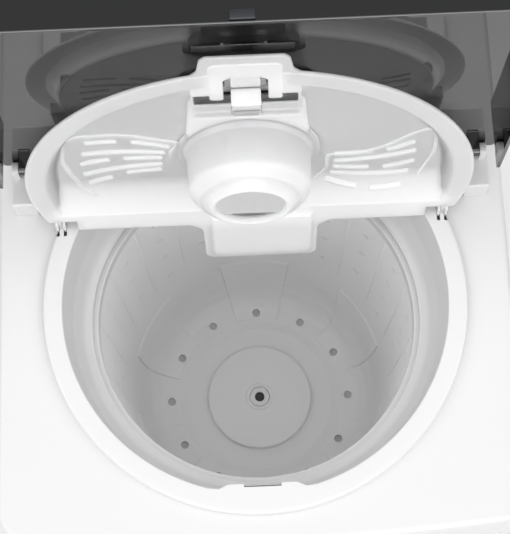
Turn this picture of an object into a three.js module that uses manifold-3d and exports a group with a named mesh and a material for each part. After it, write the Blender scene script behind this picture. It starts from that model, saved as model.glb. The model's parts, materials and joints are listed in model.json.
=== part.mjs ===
// Laundry spin dryer, standing open: outer lid up, inner lid up, basket empty.
// Millimetres, +Z up, front towards -Y. The origin is on the floor, in the middle of the footprint.
// Two local frames hold the pieces, both on the basket's axis: "well" has its zero at the top of the
// ring round the opening, "floor" has its zero on the floor.

import * as THREE from 'three';
import { mergeVertices } from 'three/addons/utils/BufferGeometryUtils.js';
import Module from 'manifold-3d';

const wasm = await Module();
wasm.setup();

// ---- Driving dimensions -------------------------------------------------------------------------

const gap = 0.3;                  // running and seating clearance between neighbouring pieces
const degree = Math.PI / 180;

// Casing
const bodyWidth = 390;
const frontReach = 181;           // basket axis to the middle of the bowed front
const rearReach = 200;            // basket axis to the rearmost fitting
const fittingDepth = 4;           // how far the fittings stand out of the rear wall
const rearWallReach = rearReach - fittingDepth;
const frontBow = 8.5;             // how far the middle of the front stands out past its corners
const cornerRadius = 22;
const casingWall = 3;
const ringHeight = 690;           // floor to the top of the ring round the opening
const deckDrop = 7;               // ring top down to the deck
const deckThickness = 3;
const skirtWall = 4;
const skirtHeight = 23;
const deckEdge = 3;               // rounding of the deck's outer edge
const baseHeight = 16;            // floor to the lower edge of the cabinet
const baseThickness = 4;
const baseAirHoleRadius = 40;
const footHeight = 12;
const footRadius = 17;
const footInset = 40;

// Opening: ring, well wall, outer tub
const ringOuter = 160.6;
const ringInner = 145.1;
const wellWall = 2.5;
const coveInner = 129.3;
const coveDrop = 60;
const tubTopRadius = 149;
const tubBottomRadius = 143;
const tubWall = 3;
const tubFlangeRadius = 156;
const sealBore = 34;

// Basket
const basketRimRadius = 125;
const basketRimDrop = 63.8;
const basketTopRadius = 127.6;
const basketFootRadius = 116;
const basketTopDrop = 76;
const hubTopDrop = 384;
const hubHeight = 10;             // hub's face above the basket's floor
const basketFloorDrop = hubTopDrop + hubHeight;
const basketFootDrop = basketFloorDrop - 28;
const basketFloorRadius = 97;
const basketBossRadius = 30;
const basketBossHeight = 18;
const basketWall = 2;
const columnCount = 20;           // drain columns and ribs round the wall
const slotRows = [79, 164];
const slotStagger = 34;           // extra drop of every second column
const slotWidth = 6;
const slotHeight = 2.4;
const ribTopDrop = basketTopDrop + 0.4;
const ribFootDrop = 282;
const ribWidth = 2.4;
const ribHeight = 1.4;
const petalCount = 6;
const petalSpan = 33;             // degrees
const petalHeight = 1.6;
const floorHoleCount = 12;
const floorHoleRadius = 4;
const floorHoleCircle = 88.7;
const hubRadius = 51.6;
const hubBoltRadius = 9.8;
const hubSocketRadius = 4.8;

// Drive
const tubFloorDrop = basketFloorDrop + 28;
const shaftRadius = 8;
const drumRadius = 56;
const drumTopDrop = tubFloorDrop + 30;
const drumHeight = 22;
const drumHubRadius = 18;
const mountPlateDrop = drumTopDrop + 37;
const mountPlateThickness = 3;
const mountPlateRadius = 84;
const mountPlateBore = 22;
const mountLobeRadius = 24;
const motorRadius = 52;
const rotorRadius = 31.5;
const motorHeight = 100;
const motorWall = 3;
const springCircle = 95;
const springRadius = 15;
const springWire = 2.6;
const springTurns = 5;
const springBossRadius = 10.2;
const springBossHeight = 12;
const capacitorRadius = 20;
const capacitorHeight = 91;
const terminalRadius = 6;
const cableStopReach = 78;        // basket axis sideways to the stop that ends the brake wire's sheath
const cableStopY = 44;
const cableStopHalfWidth = 6;
const cableStopHeight = 26;
const cableRadius = 2.5;
const cableRunInset = 31;         // body side in to the wire's run down the cabinet
const cableRunY = 110;

// Inner lid, given closed, from its hinge axis: forwards along -Y, top side up
const innerHingeReach = 65;       // basket axis back to the hinge axis
const innerHingeRise = 5.4;       // ring top up to the hinge axis
const innerOpenAngle = 96.68;     // degrees from closed to the open stop
const lidRimDepth = 5;            // hinge axis down to the rim's underside
const lidTopHeight = 9.5;         // hinge axis up to the rim's top
const lidOuterRadius = ringOuter + 0.3;
const lidRimWidth = 15.5;
const lidCentreReach = innerHingeReach - 5;   // hinge axis forward to the lid's round centre
const lidFrontReach = lidCentreReach + lidOuterRadius;
const lidPanelLow = 5.5;
const lidPanelHigh = 8;
const lidRearEdge = 5;            // how far the lid reaches behind its hinge axis
const bandReach = 50;             // hinge axis forward to where the hinge band meets the panel
const bandTopReach = 16;
const bandFootReach = 20;
const bandHalfWidth = 140;
const slopeHalfWidth = 120;
const tabReach = lidFrontReach + 17.1;
const tabHalfWidth = 25;
const tabRootHalfWidth = 31;
const windowHalfWidth = 34;
const windowFar = lidFrontReach - 24.9;
const windowNear = windowFar - 11.5;
const guardHalfWidth = 23.5;
const guardThroat = 14.4;
const guardReach = windowFar + 35;
const guardInnerReach = windowFar + 16;
const blockNear = windowNear - 24.5;
const blockHalfWidth = 35;
const neckHalfWidth = 38;
const cupReach = lidCentreReach + 40;   // hinge axis forward to the spray cup
const cupRadius = 43.4;
const cupDrop = 41;
const cupWall = 2.4;
const cupEndRadius = 25;
const plinthRadius = 50;
const panHalfWidth = 44;
const panShift = 6;
const panReach = 68;
const panWall = 2.2;
const panLipLow = 1;
const panFloorHigh = 4;
const pinRadius = 2;
const clipReach = 145.2;          // basket axis sideways to the middle of a hinge clip
const clipHalfWidth = 1.7;
const clipEar = 2.2;

// Latch on the inner lid
const latchHalfWidth = 9.5;
const latchPivotReach = blockNear + 4;
const latchTipReach = windowFar + 6;
const latchThickness = 2.2;
const buttonHalfWidth = guardThroat - 0.6;
const keeperHalfWidth = 13.4;
const keeperReach = latchTipReach - innerHingeReach + 2.2;

// Outer lid, given open
const outerHingeReach = 103;
const outerHingeRise = 23.5;
const outerFaceReach = 108.5;     // basket axis back to the lid's inner face when open
const outerLidThickness = 3.5;
const outerLidHalfWidth = bodyWidth / 2 - 9;
const outerLidTop = 304;
const outerLidFoot = 17.2;
const outerLipDepth = 26;
const outerLipWall = 3;
const outerLipClear = 22;         // height at the hinge side that has no lip
const outerCorner = 20;
const outerKnuckleReach = outerLidHalfWidth - 16.5;
const outerKnuckleWidth = 8;
const outerKnuckleRadius = 5;
const outerPinRadius = 3;
const paneHalfWidth = outerLidHalfWidth - 20;
const paneFoot = 44;
const paneTop = 282;

// Rear console
const consoleHalfWidth = bodyWidth / 2 - 14;
const consoleFront = 76.3;
const shelfTop = 16;
const shelfWall = 3.6;
const consoleStep = 118;
const consoleRear = rearWallReach - 9;
const consoleSlope = 15.5;        // degrees, tilt of the control face
const consoleWall = 3;
const panSlotHalfWidth = consoleHalfWidth - 17.5;
const panSlotReach = 150;
const knobReach = consoleHalfWidth - 81;
const knobRadius = 21;
const knobHeight = 16;

const tubAxisY = (frontReach - rearReach) / 2;
const deckTop = -deckDrop;
const deckUnder = deckTop - deckThickness;
const skirtFoot = deckTop - skirtHeight;

// ---- Solids -------------------------------------------------------------------------------------

// Turns a closed geometry into a solid, facing outwards, without the slivers at a lathe's poles.
function solid(geometry) {
  const bare = geometry.clone();
  bare.deleteAttribute('normal');
  bare.deleteAttribute('uv');
  const merged = mergeVertices(bare, 1e-4);
  const points = merged.attributes.position.array;
  const corners = merged.index.array;
  const kept = [];
  let volume = 0;
  const at = (i) => new THREE.Vector3().fromArray(points, 3 * i);
  for (let i = 0; i < corners.length; i += 3) {
    const [a, b, c] = [corners[i], corners[i + 1], corners[i + 2]];
    if (a !== b && b !== c && c !== a) {
      kept.push(a, b, c);
      volume += at(a).dot(at(b).cross(at(c)));
    }
  }
  if (volume < 0) {
    kept.reverse();
  }
  return new wasm.Manifold(new wasm.Mesh({
    numProp: 3,
    vertProperties: Float32Array.from(points),
    triVerts: Uint32Array.from(kept),
  }));
}

// Gives a solid back as a flat-shaded geometry.
function geometryOf(body) {
  const mesh = body.getMesh();
  const geometry = new THREE.BufferGeometry();
  geometry.setAttribute('position', new THREE.BufferAttribute(mesh.vertProperties, 3));
  geometry.setIndex(new THREE.BufferAttribute(mesh.triVerts, 1));
  const flat = geometry.toNonIndexed();
  flat.computeVertexNormals();
  return flat;
}

const join = (first, ...others) => others.reduce((body, other) => body.add(other), first);
const cut = (first, ...others) => others.reduce((body, other) => body.subtract(other), first);

// A block between two corners.
function block(low, high) {
  const [w, d, h] = high.map((value, i) => value - low[i]);
  const box = new THREE.BoxGeometry(w, d, h);
  return solid(box.translate(low[0] + w / 2, low[1] + d / 2, low[2] + h / 2));
}

// A solid of revolution about Z from [radius, height] pairs.
function turned(profile, segments = 24) {
  const points = profile.map(([r, z]) => new THREE.Vector2(r, z));
  return new THREE.LatheGeometry(points, segments).rotateX(Math.PI / 2);
}

// An outline in X and Y, raised from one height to another.
function prism(shape, low, high, curveSegments = 3) {
  const settings = { depth: high - low, bevelEnabled: false, curveSegments };
  return new THREE.ExtrudeGeometry(shape, settings).translate(0, 0, low);
}

// An outline in Y and Z, drawn out along X.
function prismAlongX(shape, low, high, curveSegments = 3) {
  const toX = new THREE.Matrix4().makeBasis(
    new THREE.Vector3(0, 1, 0),
    new THREE.Vector3(0, 0, 1),
    new THREE.Vector3(1, 0, 0),
  );
  return prism(shape, low, high, curveSegments).applyMatrix4(toX);
}

// An outline in X and Z, drawn out along Y.
function prismAlongY(shape, low, high, curveSegments = 3) {
  return prism(shape, -high, -low, curveSegments).rotateX(Math.PI / 2);
}

const polygon = (pairs) => new THREE.Shape(pairs.map(([u, v]) => new THREE.Vector2(u, v)));

// A rectangle with round corners, from low to high.
function roundedRectangle([u0, v0], [u1, v1], radius) {
  const shape = new THREE.Shape();
  shape.moveTo(u0 + radius, v0);
  shape.lineTo(u1 - radius, v0);
  shape.absarc(u1 - radius, v0 + radius, radius, -Math.PI / 2, 0);
  shape.lineTo(u1, v1 - radius);
  shape.absarc(u1 - radius, v1 - radius, radius, 0, Math.PI / 2);
  shape.lineTo(u0 + radius, v1);
  shape.absarc(u0 + radius, v1 - radius, radius, Math.PI / 2, Math.PI);
  shape.lineTo(u0, v0 + radius);
  shape.absarc(u0 + radius, v0 + radius, radius, Math.PI, 1.5 * Math.PI);
  return shape;
}

// A round bar through a point, along "x", "y" or "z".
function bar(radius, length, along, [x, y, z], segments = 16) {
  const cylinder = new THREE.CylinderGeometry(radius, radius, length, segments);
  if (along === 'x') {
    cylinder.rotateZ(Math.PI / 2);
  }
  if (along === 'z') {
    cylinder.rotateX(Math.PI / 2);
  }
  return solid(cylinder.translate(x, y, z));
}

// The corners of a regular polygon about the origin.
function ringPoints(radius, sides) {
  const points = [];
  for (let i = 0; i < sides; i += 1) {
    const a = 2 * Math.PI * i / sides;
    points.push(new THREE.Vector2(radius * Math.cos(a), radius * Math.sin(a)));
  }
  return points;
}

// A tube or a solid bar along a smooth path through points.
function pipe(points, outer, bore, sides, steps) {
  const section = new THREE.Shape(ringPoints(outer, sides));
  if (bore > 0) {
    section.holes.push(new THREE.Path(ringPoints(bore, sides)));
  }
  const corners = points.map((p) => new THREE.Vector3(...p));
  const path = new THREE.CatmullRomCurve3(corners, false, 'centripetal');
  return new THREE.ExtrudeGeometry(section, { extrudePath: path, steps });
}

const mirrored = [-1, 1];

// ---- Casing -------------------------------------------------------------------------------------

// The footprint, drawn in by an inset: bowed front, round corners, straight sides and rear.
function footprint(inset) {
  const half = bodyWidth / 2 - inset;
  const rear = rearWallReach - inset;
  const front = -frontReach + inset;
  const cornerY = front + frontBow;
  const r = cornerRadius - inset;
  const shape = new THREE.Shape();
  shape.moveTo(-half + r, cornerY);
  shape.quadraticCurveTo(0, front - frontBow, half - r, cornerY);
  shape.absarc(half - r, cornerY + r, r, -Math.PI / 2, 0);
  shape.absarc(half - r, rear - r, r, 0, Math.PI / 2);
  shape.absarc(-half + r, rear - r, r, Math.PI / 2, Math.PI);
  shape.absarc(-half + r, cornerY + r, r, Math.PI, 1.5 * Math.PI);
  return shape;
}

const coverHalfWidth = bodyWidth / 2 - 57;
const coverFoot = 64;
const coverTop = 566;
const coverLap = 10;
const coverThickness = 1.6;
const screwRadius = 2;
const screwHeadRadius = 5;
const screwInset = 5;
const drainHeight = 110;
const drainX = bodyWidth / 2 - 33;
const drainBore = 11.5;
const drainOuter = 14;
const glandX = -drainX;
const glandHeight = 100;
const glandRadius = 8.5;
const glandBore = 4;

const screwPlaces = mirrored.flatMap((side) => [coverFoot + screwInset, coverTop - screwInset].map(
  (z) => [side * (coverHalfWidth - screwInset), z],
));

function cabinet() {
  const top = ringHeight + skirtFoot - gap;
  const outside = solid(prism(footprint(0), baseHeight, top, 4));
  const inside = solid(prism(footprint(casingWall), baseHeight - 1, top + 1, 4));
  const rearOpening = block(
    [-coverHalfWidth + coverLap, rearWallReach - 2 * casingWall, coverFoot + coverLap],
    [coverHalfWidth - coverLap, rearWallReach + 1, coverTop - coverLap],
  );
  const screwHoles = screwPlaces.map(([x, z]) => bar(
    screwRadius + gap, 4 * casingWall, 'y', [x, rearWallReach, z], 8,
  ));
  const drainHole = bar(drainOuter + gap, 4 * casingWall, 'y', [drainX, rearWallReach, drainHeight], 20);
  const glandHole = bar(glandRadius + gap, 4 * casingWall, 'y', [glandX, rearWallReach, glandHeight], 16);
  return cut(outside, inside, rearOpening, ...screwHoles, drainHole, glandHole);
}

function rearCover() {
  const front = rearWallReach + gap;
  const plate = block(
    [-coverHalfWidth, front, coverFoot],
    [coverHalfWidth, front + coverThickness, coverTop],
  );
  const louvreHalfWidth = 70;
  const louvreHeight = 6;
  const louvrePitch = 16;
  const louvreCount = 7;
  const louvres = [];
  for (let i = 0; i < louvreCount; i += 1) {
    const z = coverFoot + 3 * louvrePitch + i * louvrePitch;
    louvres.push(block([-louvreHalfWidth, front - 1, z], [louvreHalfWidth, front + 4, z + louvreHeight]));
  }
  const holes = screwPlaces.map(([x, z]) => bar(screwRadius + gap, 12, 'y', [x, front, z], 8));
  return cut(plate, ...louvres, ...holes);
}

function coverScrew([x, z]) {
  const seat = rearWallReach + gap + coverThickness + gap;
  const head = bar(screwHeadRadius, rearReach - seat, 'y', [x, (rearReach + seat) / 2, z], 10);
  const shank = bar(screwRadius, 9, 'y', [x, seat - 4, z], 8);
  return join(head, shank);
}

const motorUnderside = ringHeight - mountPlateDrop - mountPlateThickness;
const springAngles = [90, 210, 330];
const springPlaces = springAngles.map((a) => [
  springCircle * Math.cos(a * degree),
  springCircle * Math.sin(a * degree),
]);

// Tray that closes the cabinet below, with a seat for each suspension spring and an air hole.
function basePan() {
  const top = baseHeight + baseThickness;
  const plate = solid(prism(footprint(casingWall + gap), baseHeight - 2, top, 4));
  const lip = solid(prism(footprint(0), footHeight + gap, baseHeight - gap, 4));
  const bosses = springPlaces.map(([x, y]) => bar(
    springBossRadius, springBossHeight + baseThickness, 'z',
    [x, y, top + (springBossHeight - baseThickness) / 2], 10,
  ));
  const airHole = bar(baseAirHoleRadius, 5 * baseThickness, 'z', [0, 0, baseHeight], 16);
  return cut(join(plate, lip, ...bosses), airHole);
}

function foot() {
  return turned([
    [0, 0], [footRadius - 2, 0], [footRadius, 2], [footRadius - 2, footHeight],
    [0, footHeight],
  ], 14);
}

// Deck, ring and well wall, moulded as one piece.
function topDeck() {
  const body = solid(new THREE.ExtrudeGeometry(footprint(deckEdge), {
    depth: skirtHeight - 2 * deckEdge,
    bevelThickness: deckEdge,
    bevelSize: deckEdge,
    bevelSegments: 2,
    curveSegments: 4,
  }).translate(0, 0, skirtFoot + deckEdge));
  const hollow = solid(prism(footprint(skirtWall), skirtFoot - 1, deckUnder, 4));
  const opening = bar(ringInner + 2, 40, 'z', [0, 0, deckTop], 48);
  const ring = solid(turned([
    [ringOuter, deckUnder], [ringOuter, -4], [ringOuter - 1.2, -1.6], [ringOuter - 3.8, -0.3],
    [ringOuter - 7.6, 0], [ringInner + 1.9, 0], [ringInner, -1.5],
    [ringInner - 1, -24], [ringInner - 3.4, -42], [coveInner + 6, -coveDrop + 6], [coveInner, -coveDrop],
    [coveInner, -coveDrop - wellWall], [coveInner + 7, -coveDrop + 3.4], [ringInner - 0.8, -43],
    [ringInner + 1.6, -24], [ringInner + 1.9, deckUnder], [ringOuter, deckUnder],
  ], 48));
  const notchReach = keeperReach - 1.7;
  const notchHalfWidth = 25;
  const notchRoot = 34;
  const notchDepth = deckDrop + deckThickness;
  const notch = solid(prism(polygon([
    [-notchHalfWidth, -notchReach], [-notchRoot, -ringInner + 2.6], [-notchRoot, -ringInner - 2],
    [notchRoot, -ringInner - 2], [notchRoot, -ringInner + 2.6], [notchHalfWidth, -notchReach],
  ]), -notchDepth, 0));
  const keeperSlot = block(
    [-keeperHalfWidth - gap, -keeperReach - 1.4, -notchDepth - 1],
    [keeperHalfWidth + gap, -notchReach + 1, 1],
  );
  const clipSlots = mirrored.flatMap((side) => mirrored.map((ear) => {
    const x = side * clipReach + ear * (clipHalfWidth + clipEar / 2);
    return block(
      [x - clipEar / 2 - gap, innerHingeReach - 9, -7],
      [x + clipEar / 2 + gap, innerHingeReach - 3, 1],
    );
  }));
  return cut(join(cut(body, hollow, opening), ring, notch), keeperSlot, ...clipSlots);
}

// Bar across the keeper slot, which the latch's hook passes.
function latchKeeper() {
  const half = keeperHalfWidth;
  const rail = block([-half, -keeperReach - 0.6, -9], [half, -keeperReach + 0.6, -2]);
  const ends = mirrored.map((side) => block(
    [side * (half - 1.5) - 1.5, -keeperReach - 1.1, -11],
    [side * (half - 1.5) + 1.5, -keeperReach + 1.1, -2],
  ));
  return join(rail, ...ends);
}

// Clip that carries one hinge pin of the inner lid: two ears with fingers down into the ring.
function hingeClip(side) {
  const middle = side * clipReach;
  const reach = clipHalfWidth + clipEar;
  const sole = block(
    [middle - reach, innerHingeReach - 3, gap],
    [middle + reach, innerHingeReach + 6, gap + 0.9],
  );
  const parts = mirrored.flatMap((ear) => {
    const x = middle + ear * (clipHalfWidth + clipEar / 2);
    const plate = block(
      [x - clipEar / 2, innerHingeReach - 8.6, gap],
      [x + clipEar / 2, innerHingeReach + 6, innerHingeRise + 3.6],
    );
    const finger = block(
      [x - clipEar / 2, innerHingeReach - 8.6, -5],
      [x + clipEar / 2, innerHingeReach - 3.4, gap + 1],
    );
    return [plate, finger];
  });
  const bore = bar(pinRadius + gap, 20, 'x', [middle, innerHingeReach, innerHingeRise]);
  return cut(join(sole, ...parts), bore);
}

// ---- Tub and drain ------------------------------------------------------------------------------

const drainPortX = 96;
const drainPortY = 96;

function outerTub() {
  const floorZ = -tubFloorDrop;
  const shell = solid(turned([
    [tubFlangeRadius, deckUnder - gap], [tubFlangeRadius, deckUnder - gap - tubWall],
    [tubTopRadius + tubWall, deckUnder - gap - tubWall], [tubBottomRadius + tubWall, floorZ + 8],
    [tubBottomRadius - 5, floorZ - tubWall], [sealBore, floorZ - tubWall], [sealBore, floorZ],
    [tubBottomRadius - 7, floorZ], [tubBottomRadius, floorZ + 9],
    [tubTopRadius, deckUnder - gap], [tubFlangeRadius, deckUnder - gap],
  ], 32));
  const port = bar(drainBore, 20, 'z', [drainPortX, drainPortY, floorZ], 20);
  return cut(shell, port);
}

// Rubber boot between the tub's floor and the turning shaft.
function tubSeal() {
  const top = -tubFloorDrop - tubWall - gap;
  const bore = shaftRadius + gap;
  return turned([
    [sealBore + 16, top], [sealBore + 16, top - 3], [sealBore + 2, top - 3], [26, top - 12],
    [15, top - 12], [15, top - 20], [bore, top - 20], [bore, top - 6], [24, top - 6],
    [sealBore, top], [sealBore + 16, top],
  ], 16);
}

function drainTube() {
  const top = ringHeight - tubFloorDrop - tubWall - gap;
  const wall = rearWallReach - casingWall - gap;
  return pipe([
    [drainPortX, drainPortY, top], [drainPortX, drainPortY, top - 25],
    [drainPortX + 20, drainPortY + 10, top - 85], [drainX - 8, drainPortY + 40, drainHeight + 18],
    [drainX, wall - 30, drainHeight], [drainX, wall, drainHeight],
  ], drainOuter, drainBore, 8, 10);
}

// Socket in the rear wall that takes a drain hose.
function drainSocket() {
  const flange = drainOuter + 8;
  const face = rearWallReach + gap;
  const inner = rearWallReach - casingWall;
  const socket = turned([
    [drainBore, 0], [drainOuter, 0], [drainOuter, face - inner], [flange, face - inner],
    [flange, rearReach - inner], [drainBore, rearReach - inner], [drainBore, 0],
  ], 16);
  return socket.rotateX(-Math.PI / 2).translate(drainX, inner, drainHeight);
}

function cordGland() {
  const face = rearWallReach + gap;
  const inner = rearWallReach - casingWall - 6;
  const gland = turned([
    [glandBore, 0], [glandRadius - 1.5, 0], [glandRadius, 3], [glandRadius, face - inner],
    [glandRadius + 4.5, face - inner], [glandRadius + 3, rearReach - inner],
    [glandBore, rearReach - inner], [glandBore, 0],
  ], 12);
  return gland.rotateX(-Math.PI / 2).translate(glandX, inner, glandHeight);
}

// ---- Basket and drive ---------------------------------------------------------------------------

// Inner face of the basket: radius at a depth below the ring top, from the rim to the floor.
const basketInner = [
  [basketTopRadius, basketTopDrop], [basketFootRadius + 2.3, basketFootDrop - 66],
  [basketFootRadius, basketFootDrop - 14],
  [basketFootRadius - 3, basketFootDrop], [basketFootRadius - 9.5, basketFloorDrop - 6],
  [basketFloorRadius, basketFloorDrop],
];

function innerRadiusAt(drop) {
  const after = basketInner.findIndex(([, d]) => d >= drop);
  const [r1, d1] = basketInner[Math.max(after, 1)];
  const [r0, d0] = basketInner[Math.max(after, 1) - 1];
  return r0 + (r1 - r0) * (drop - d0) / (d1 - d0);
}

function basket() {
  const down = basketInner.map(([r, d]) => [r, -d]);
  const bossDrop = basketFloorDrop + basketBossHeight;
  const floorUnder = basketFloorDrop + basketWall + 1;
  const shell = solid(turned([
    ...down, [shaftRadius + gap, -basketFloorDrop], [shaftRadius + gap, -bossDrop],
    [basketBossRadius, -bossDrop], [basketBossRadius, -floorUnder], [basketFloorRadius + 2, -floorUnder],
    ...basketInner.slice(0, -1).reverse().map(
      ([r, d]) => [r + basketWall, -d - (d > basketFootDrop + 1 ? basketWall : 0)],
    ),
    down[0],
  ], 2 * columnCount));
  const pitch = 360 / columnCount;
  const slots = [];
  const ribs = [];
  for (let i = 0; i < columnCount; i += 1) {
    const slotAngle = (i + 0.25) * pitch;
    slotRows.forEach((drop) => {
      const z = -drop - (i % 2) * slotStagger;
      const cutter = new THREE.BoxGeometry(3 * basketWall + 6, slotWidth, slotHeight);
      cutter.translate(innerRadiusAt(-z) + basketWall / 2, 0, z);
      slots.push(solid(cutter.rotateZ(slotAngle * degree)));
    });
    const rib = new THREE.BoxGeometry(2 * ribHeight, ribWidth, ribFootDrop - ribTopDrop);
    const slope = Math.atan2(
      innerRadiusAt(ribTopDrop) - innerRadiusAt(ribFootDrop),
      ribFootDrop - ribTopDrop,
    );
    const middleDrop = (ribTopDrop + ribFootDrop) / 2;
    rib.rotateY(slope).translate(innerRadiusAt(middleDrop), 0, -middleDrop);
    ribs.push(solid(rib.rotateZ((i + 0.75) * pitch * degree)));
  }
  const petals = [];
  for (let i = 0; i < petalCount; i += 1) {
    petals.push(petal(90 + i * 360 / petalCount));
  }
  const holes = [];
  for (let i = 0; i < floorHoleCount; i += 1) {
    const a = i * 2 * Math.PI / floorHoleCount;
    holes.push(bar(floorHoleRadius, 30, 'z', [
      floorHoleCircle * Math.cos(a), floorHoleCircle * Math.sin(a), -basketFloorDrop,
    ], 10));
  }
  return cut(join(shell, ...ribs, ...petals), ...slots, ...holes);
}

// One raised panel that runs from the floor's edge up the lower wall.
function petal(angle) {
  const inner = basketInner.slice(1);
  const face = inner.map(
    ([r, d], i) => (i === 0 ? [r, -d] : [r - petalHeight, -d + (i > 2 ? petalHeight : 0)]),
  );
  const back = [...inner].reverse().map(([r, d]) => [r + basketWall / 2, -d]);
  const segments = 4;
  const points = [...face, ...back, face[0]].map(([r, z]) => new THREE.Vector2(r, z));
  const start = Math.PI / 2 + (angle - petalSpan / 2) * degree;
  const open = new THREE.LatheGeometry(points, segments, start, petalSpan * degree);
  open.rotateX(Math.PI / 2);
  return capped(open, points.length, segments);
}

// Closes the two ends of a part-turn lathe whose profile is a closed loop.
function capped(lathe, rings, segments) {
  const bare = lathe.clone();
  bare.deleteAttribute('normal');
  bare.deleteAttribute('uv');
  const outline = [];
  const position = bare.attributes.position;
  const local = (column) => {
    const loop = [];
    for (let j = 0; j < rings - 1; j += 1) {
      const k = column * rings + j;
      loop.push(new THREE.Vector2(Math.hypot(position.getX(k), position.getY(k)), position.getZ(k)));
    }
    return loop;
  };
  for (const column of [0, segments]) {
    const faces = THREE.ShapeUtils.triangulateShape(local(column), []);
    const offset = column * rings;
    faces.forEach(([a, b, c]) => {
      outline.push(...(column === 0 ? [a, b, c] : [a, c, b]).map((k) => k + offset));
    });
  }
  const clockwise = THREE.ShapeUtils.area(local(0)) < 0;
  const index = [...bare.index.array];
  if (clockwise) {
    outline.reverse();
  }
  bare.setIndex([...index, ...outline]);
  return solid(bare);
}

// Ring pressed over the basket's upper edge.
function basketRim() {
  const outer = coveInner - 0.9;
  const seat = -basketTopDrop + gap;
  return turned([
    [basketRimRadius, -basketRimDrop - 2], [basketRimRadius + 2, -basketRimDrop],
    [outer, -basketRimDrop], [outer + 3.6, seat + 4], [outer + 3.6, seat - 8],
    [basketTopRadius + basketWall + gap, seat - 8], [basketTopRadius + basketWall + gap, seat],
    [basketRimRadius, seat], [basketRimRadius, -basketRimDrop - 2],
  ], 2 * columnCount);
}

function hubDisc() {
  const under = -basketFloorDrop + gap;
  const bore = hubBoltRadius + gap;
  return turned([
    [bore, under], [hubRadius, under], [hubRadius, -hubTopDrop - 2.5], [hubRadius - 2.5, -hubTopDrop],
    [hubRadius - 6, -hubTopDrop], [hubRadius - 7, -hubTopDrop - 1], [hubRadius - 8, -hubTopDrop],
    [bore, -hubTopDrop], [bore, under],
  ], 28);
}

function hubBolt() {
  const under = -basketFloorDrop + gap;
  return turned([
    [0, under], [hubBoltRadius, under], [hubBoltRadius, -hubTopDrop],
    [hubBoltRadius - 1.5, -hubTopDrop + 1.2], [hubSocketRadius, -hubTopDrop + 1.2],
    [hubSocketRadius, -hubTopDrop - 7], [0, -hubTopDrop - 7],
  ], 16);
}

const motorTopDrop = mountPlateDrop + mountPlateThickness + gap;
const motorFloorDrop = motorTopDrop + motorHeight;

function driveShaft() {
  const top = -basketFloorDrop;
  const foot = -motorFloorDrop + motorWall + gap;
  return bar(shaftRadius, top - foot, 'z', [0, 0, (top + foot) / 2], 20);
}

function brakeDrum() {
  const top = -drumTopDrop;
  const foot = top - drumHeight;
  const bore = shaftRadius + gap;
  return turned([
    [bore, foot + 4], [bore, top + 3], [drumHubRadius, top + 3], [drumHubRadius, top],
    [drumRadius, top], [drumRadius, foot], [drumRadius - 5, foot], [drumRadius - 5, top - 5],
    [drumHubRadius, top - 5], [drumHubRadius, foot + 4], [bore, foot + 4],
  ], 20);
}

function motorMountPlate() {
  const high = -mountPlateDrop;
  const low = high - mountPlateThickness;
  const lobes = springPlaces.map(([x, y]) => bar(
    mountLobeRadius, mountPlateThickness, 'z', [x, y, (high + low) / 2], 12,
  ));
  const disc = bar(mountPlateRadius, mountPlateThickness, 'z', [0, 0, (high + low) / 2], 24);
  const bosses = springPlaces.map(([x, y]) => bar(
    springBossRadius, springBossHeight, 'z', [x, y, low - springBossHeight / 2 + 0.5], 10,
  ));
  const cableStop = block(
    [-cableStopReach, cableStopY - cableStopHalfWidth, low],
    [-cableStopReach + 2 * cableStopHalfWidth, cableStopY + cableStopHalfWidth, high + cableStopHeight],
  );
  const bore = bar(mountPlateBore, 5 * mountPlateThickness, 'z', [0, 0, high], 16);
  return cut(join(disc, ...lobes, ...bosses, cableStop), bore);
}

function motorTopCap() {
  const top = -motorTopDrop;
  const bore = shaftRadius + gap;
  return turned([
    [bore, top - 12], [bore, top + 6], [16, top + 6], [16, top], [motorRadius + 4, top],
    [motorRadius + 4, top - 6], [16, top - 6], [16, top - 12], [bore, top - 12],
  ], 18);
}

function motorShell() {
  const top = -motorTopDrop - 6 - gap;
  const foot = -motorFloorDrop;
  return turned([
    [0, foot], [motorRadius - 6, foot], [motorRadius, foot + 6], [motorRadius, top],
    [motorRadius - motorWall, top], [motorRadius - motorWall, foot + 6],
    [motorRadius - motorWall - 4, foot + motorWall],
    [0, foot + motorWall],
  ], 24);
}

function motorStator() {
  const top = -motorTopDrop - 20;
  const foot = -motorFloorDrop + 16;
  const outer = motorRadius - motorWall - gap;
  const bore = rotorRadius + 0.5;
  return turned([[bore, foot], [outer, foot], [outer, top], [bore, top], [bore, foot]], 24);
}

function motorRotor() {
  const top = -motorTopDrop - 22;
  const foot = -motorFloorDrop + 18;
  const bore = shaftRadius + gap;
  return turned([
    [bore, foot], [rotorRadius, foot], [rotorRadius, top], [bore, top], [bore, foot],
  ], 20);
}

// Coil between the base pan and the motor plate, as one wire with straight-cut ends.
function suspensionSpring() {
  const low = baseHeight + baseThickness + springWire + gap;
  const high = motorUnderside - springWire - gap;
  const stepsPerTurn = 7;
  const points = [];
  for (let i = 0; i <= springTurns * stepsPerTurn; i += 1) {
    const t = i / (springTurns * stepsPerTurn);
    const a = 2 * Math.PI * springTurns * t;
    points.push([springRadius * Math.cos(a), springRadius * Math.sin(a), low + (high - low) * t]);
  }
  return pipe(points, springWire, 0, 4, springTurns * stepsPerTurn);
}

function capacitor() {
  const chamfer = 3;
  const terminalTop = capacitorHeight + terminalRadius;
  return turned([
    [0, 0], [capacitorRadius, 0], [capacitorRadius, capacitorHeight - chamfer],
    [capacitorRadius - chamfer, capacitorHeight], [terminalRadius, capacitorHeight],
    [terminalRadius, terminalTop], [0, terminalTop],
  ], 20);
}

// ---- Brake --------------------------------------------------------------------------------------

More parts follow.
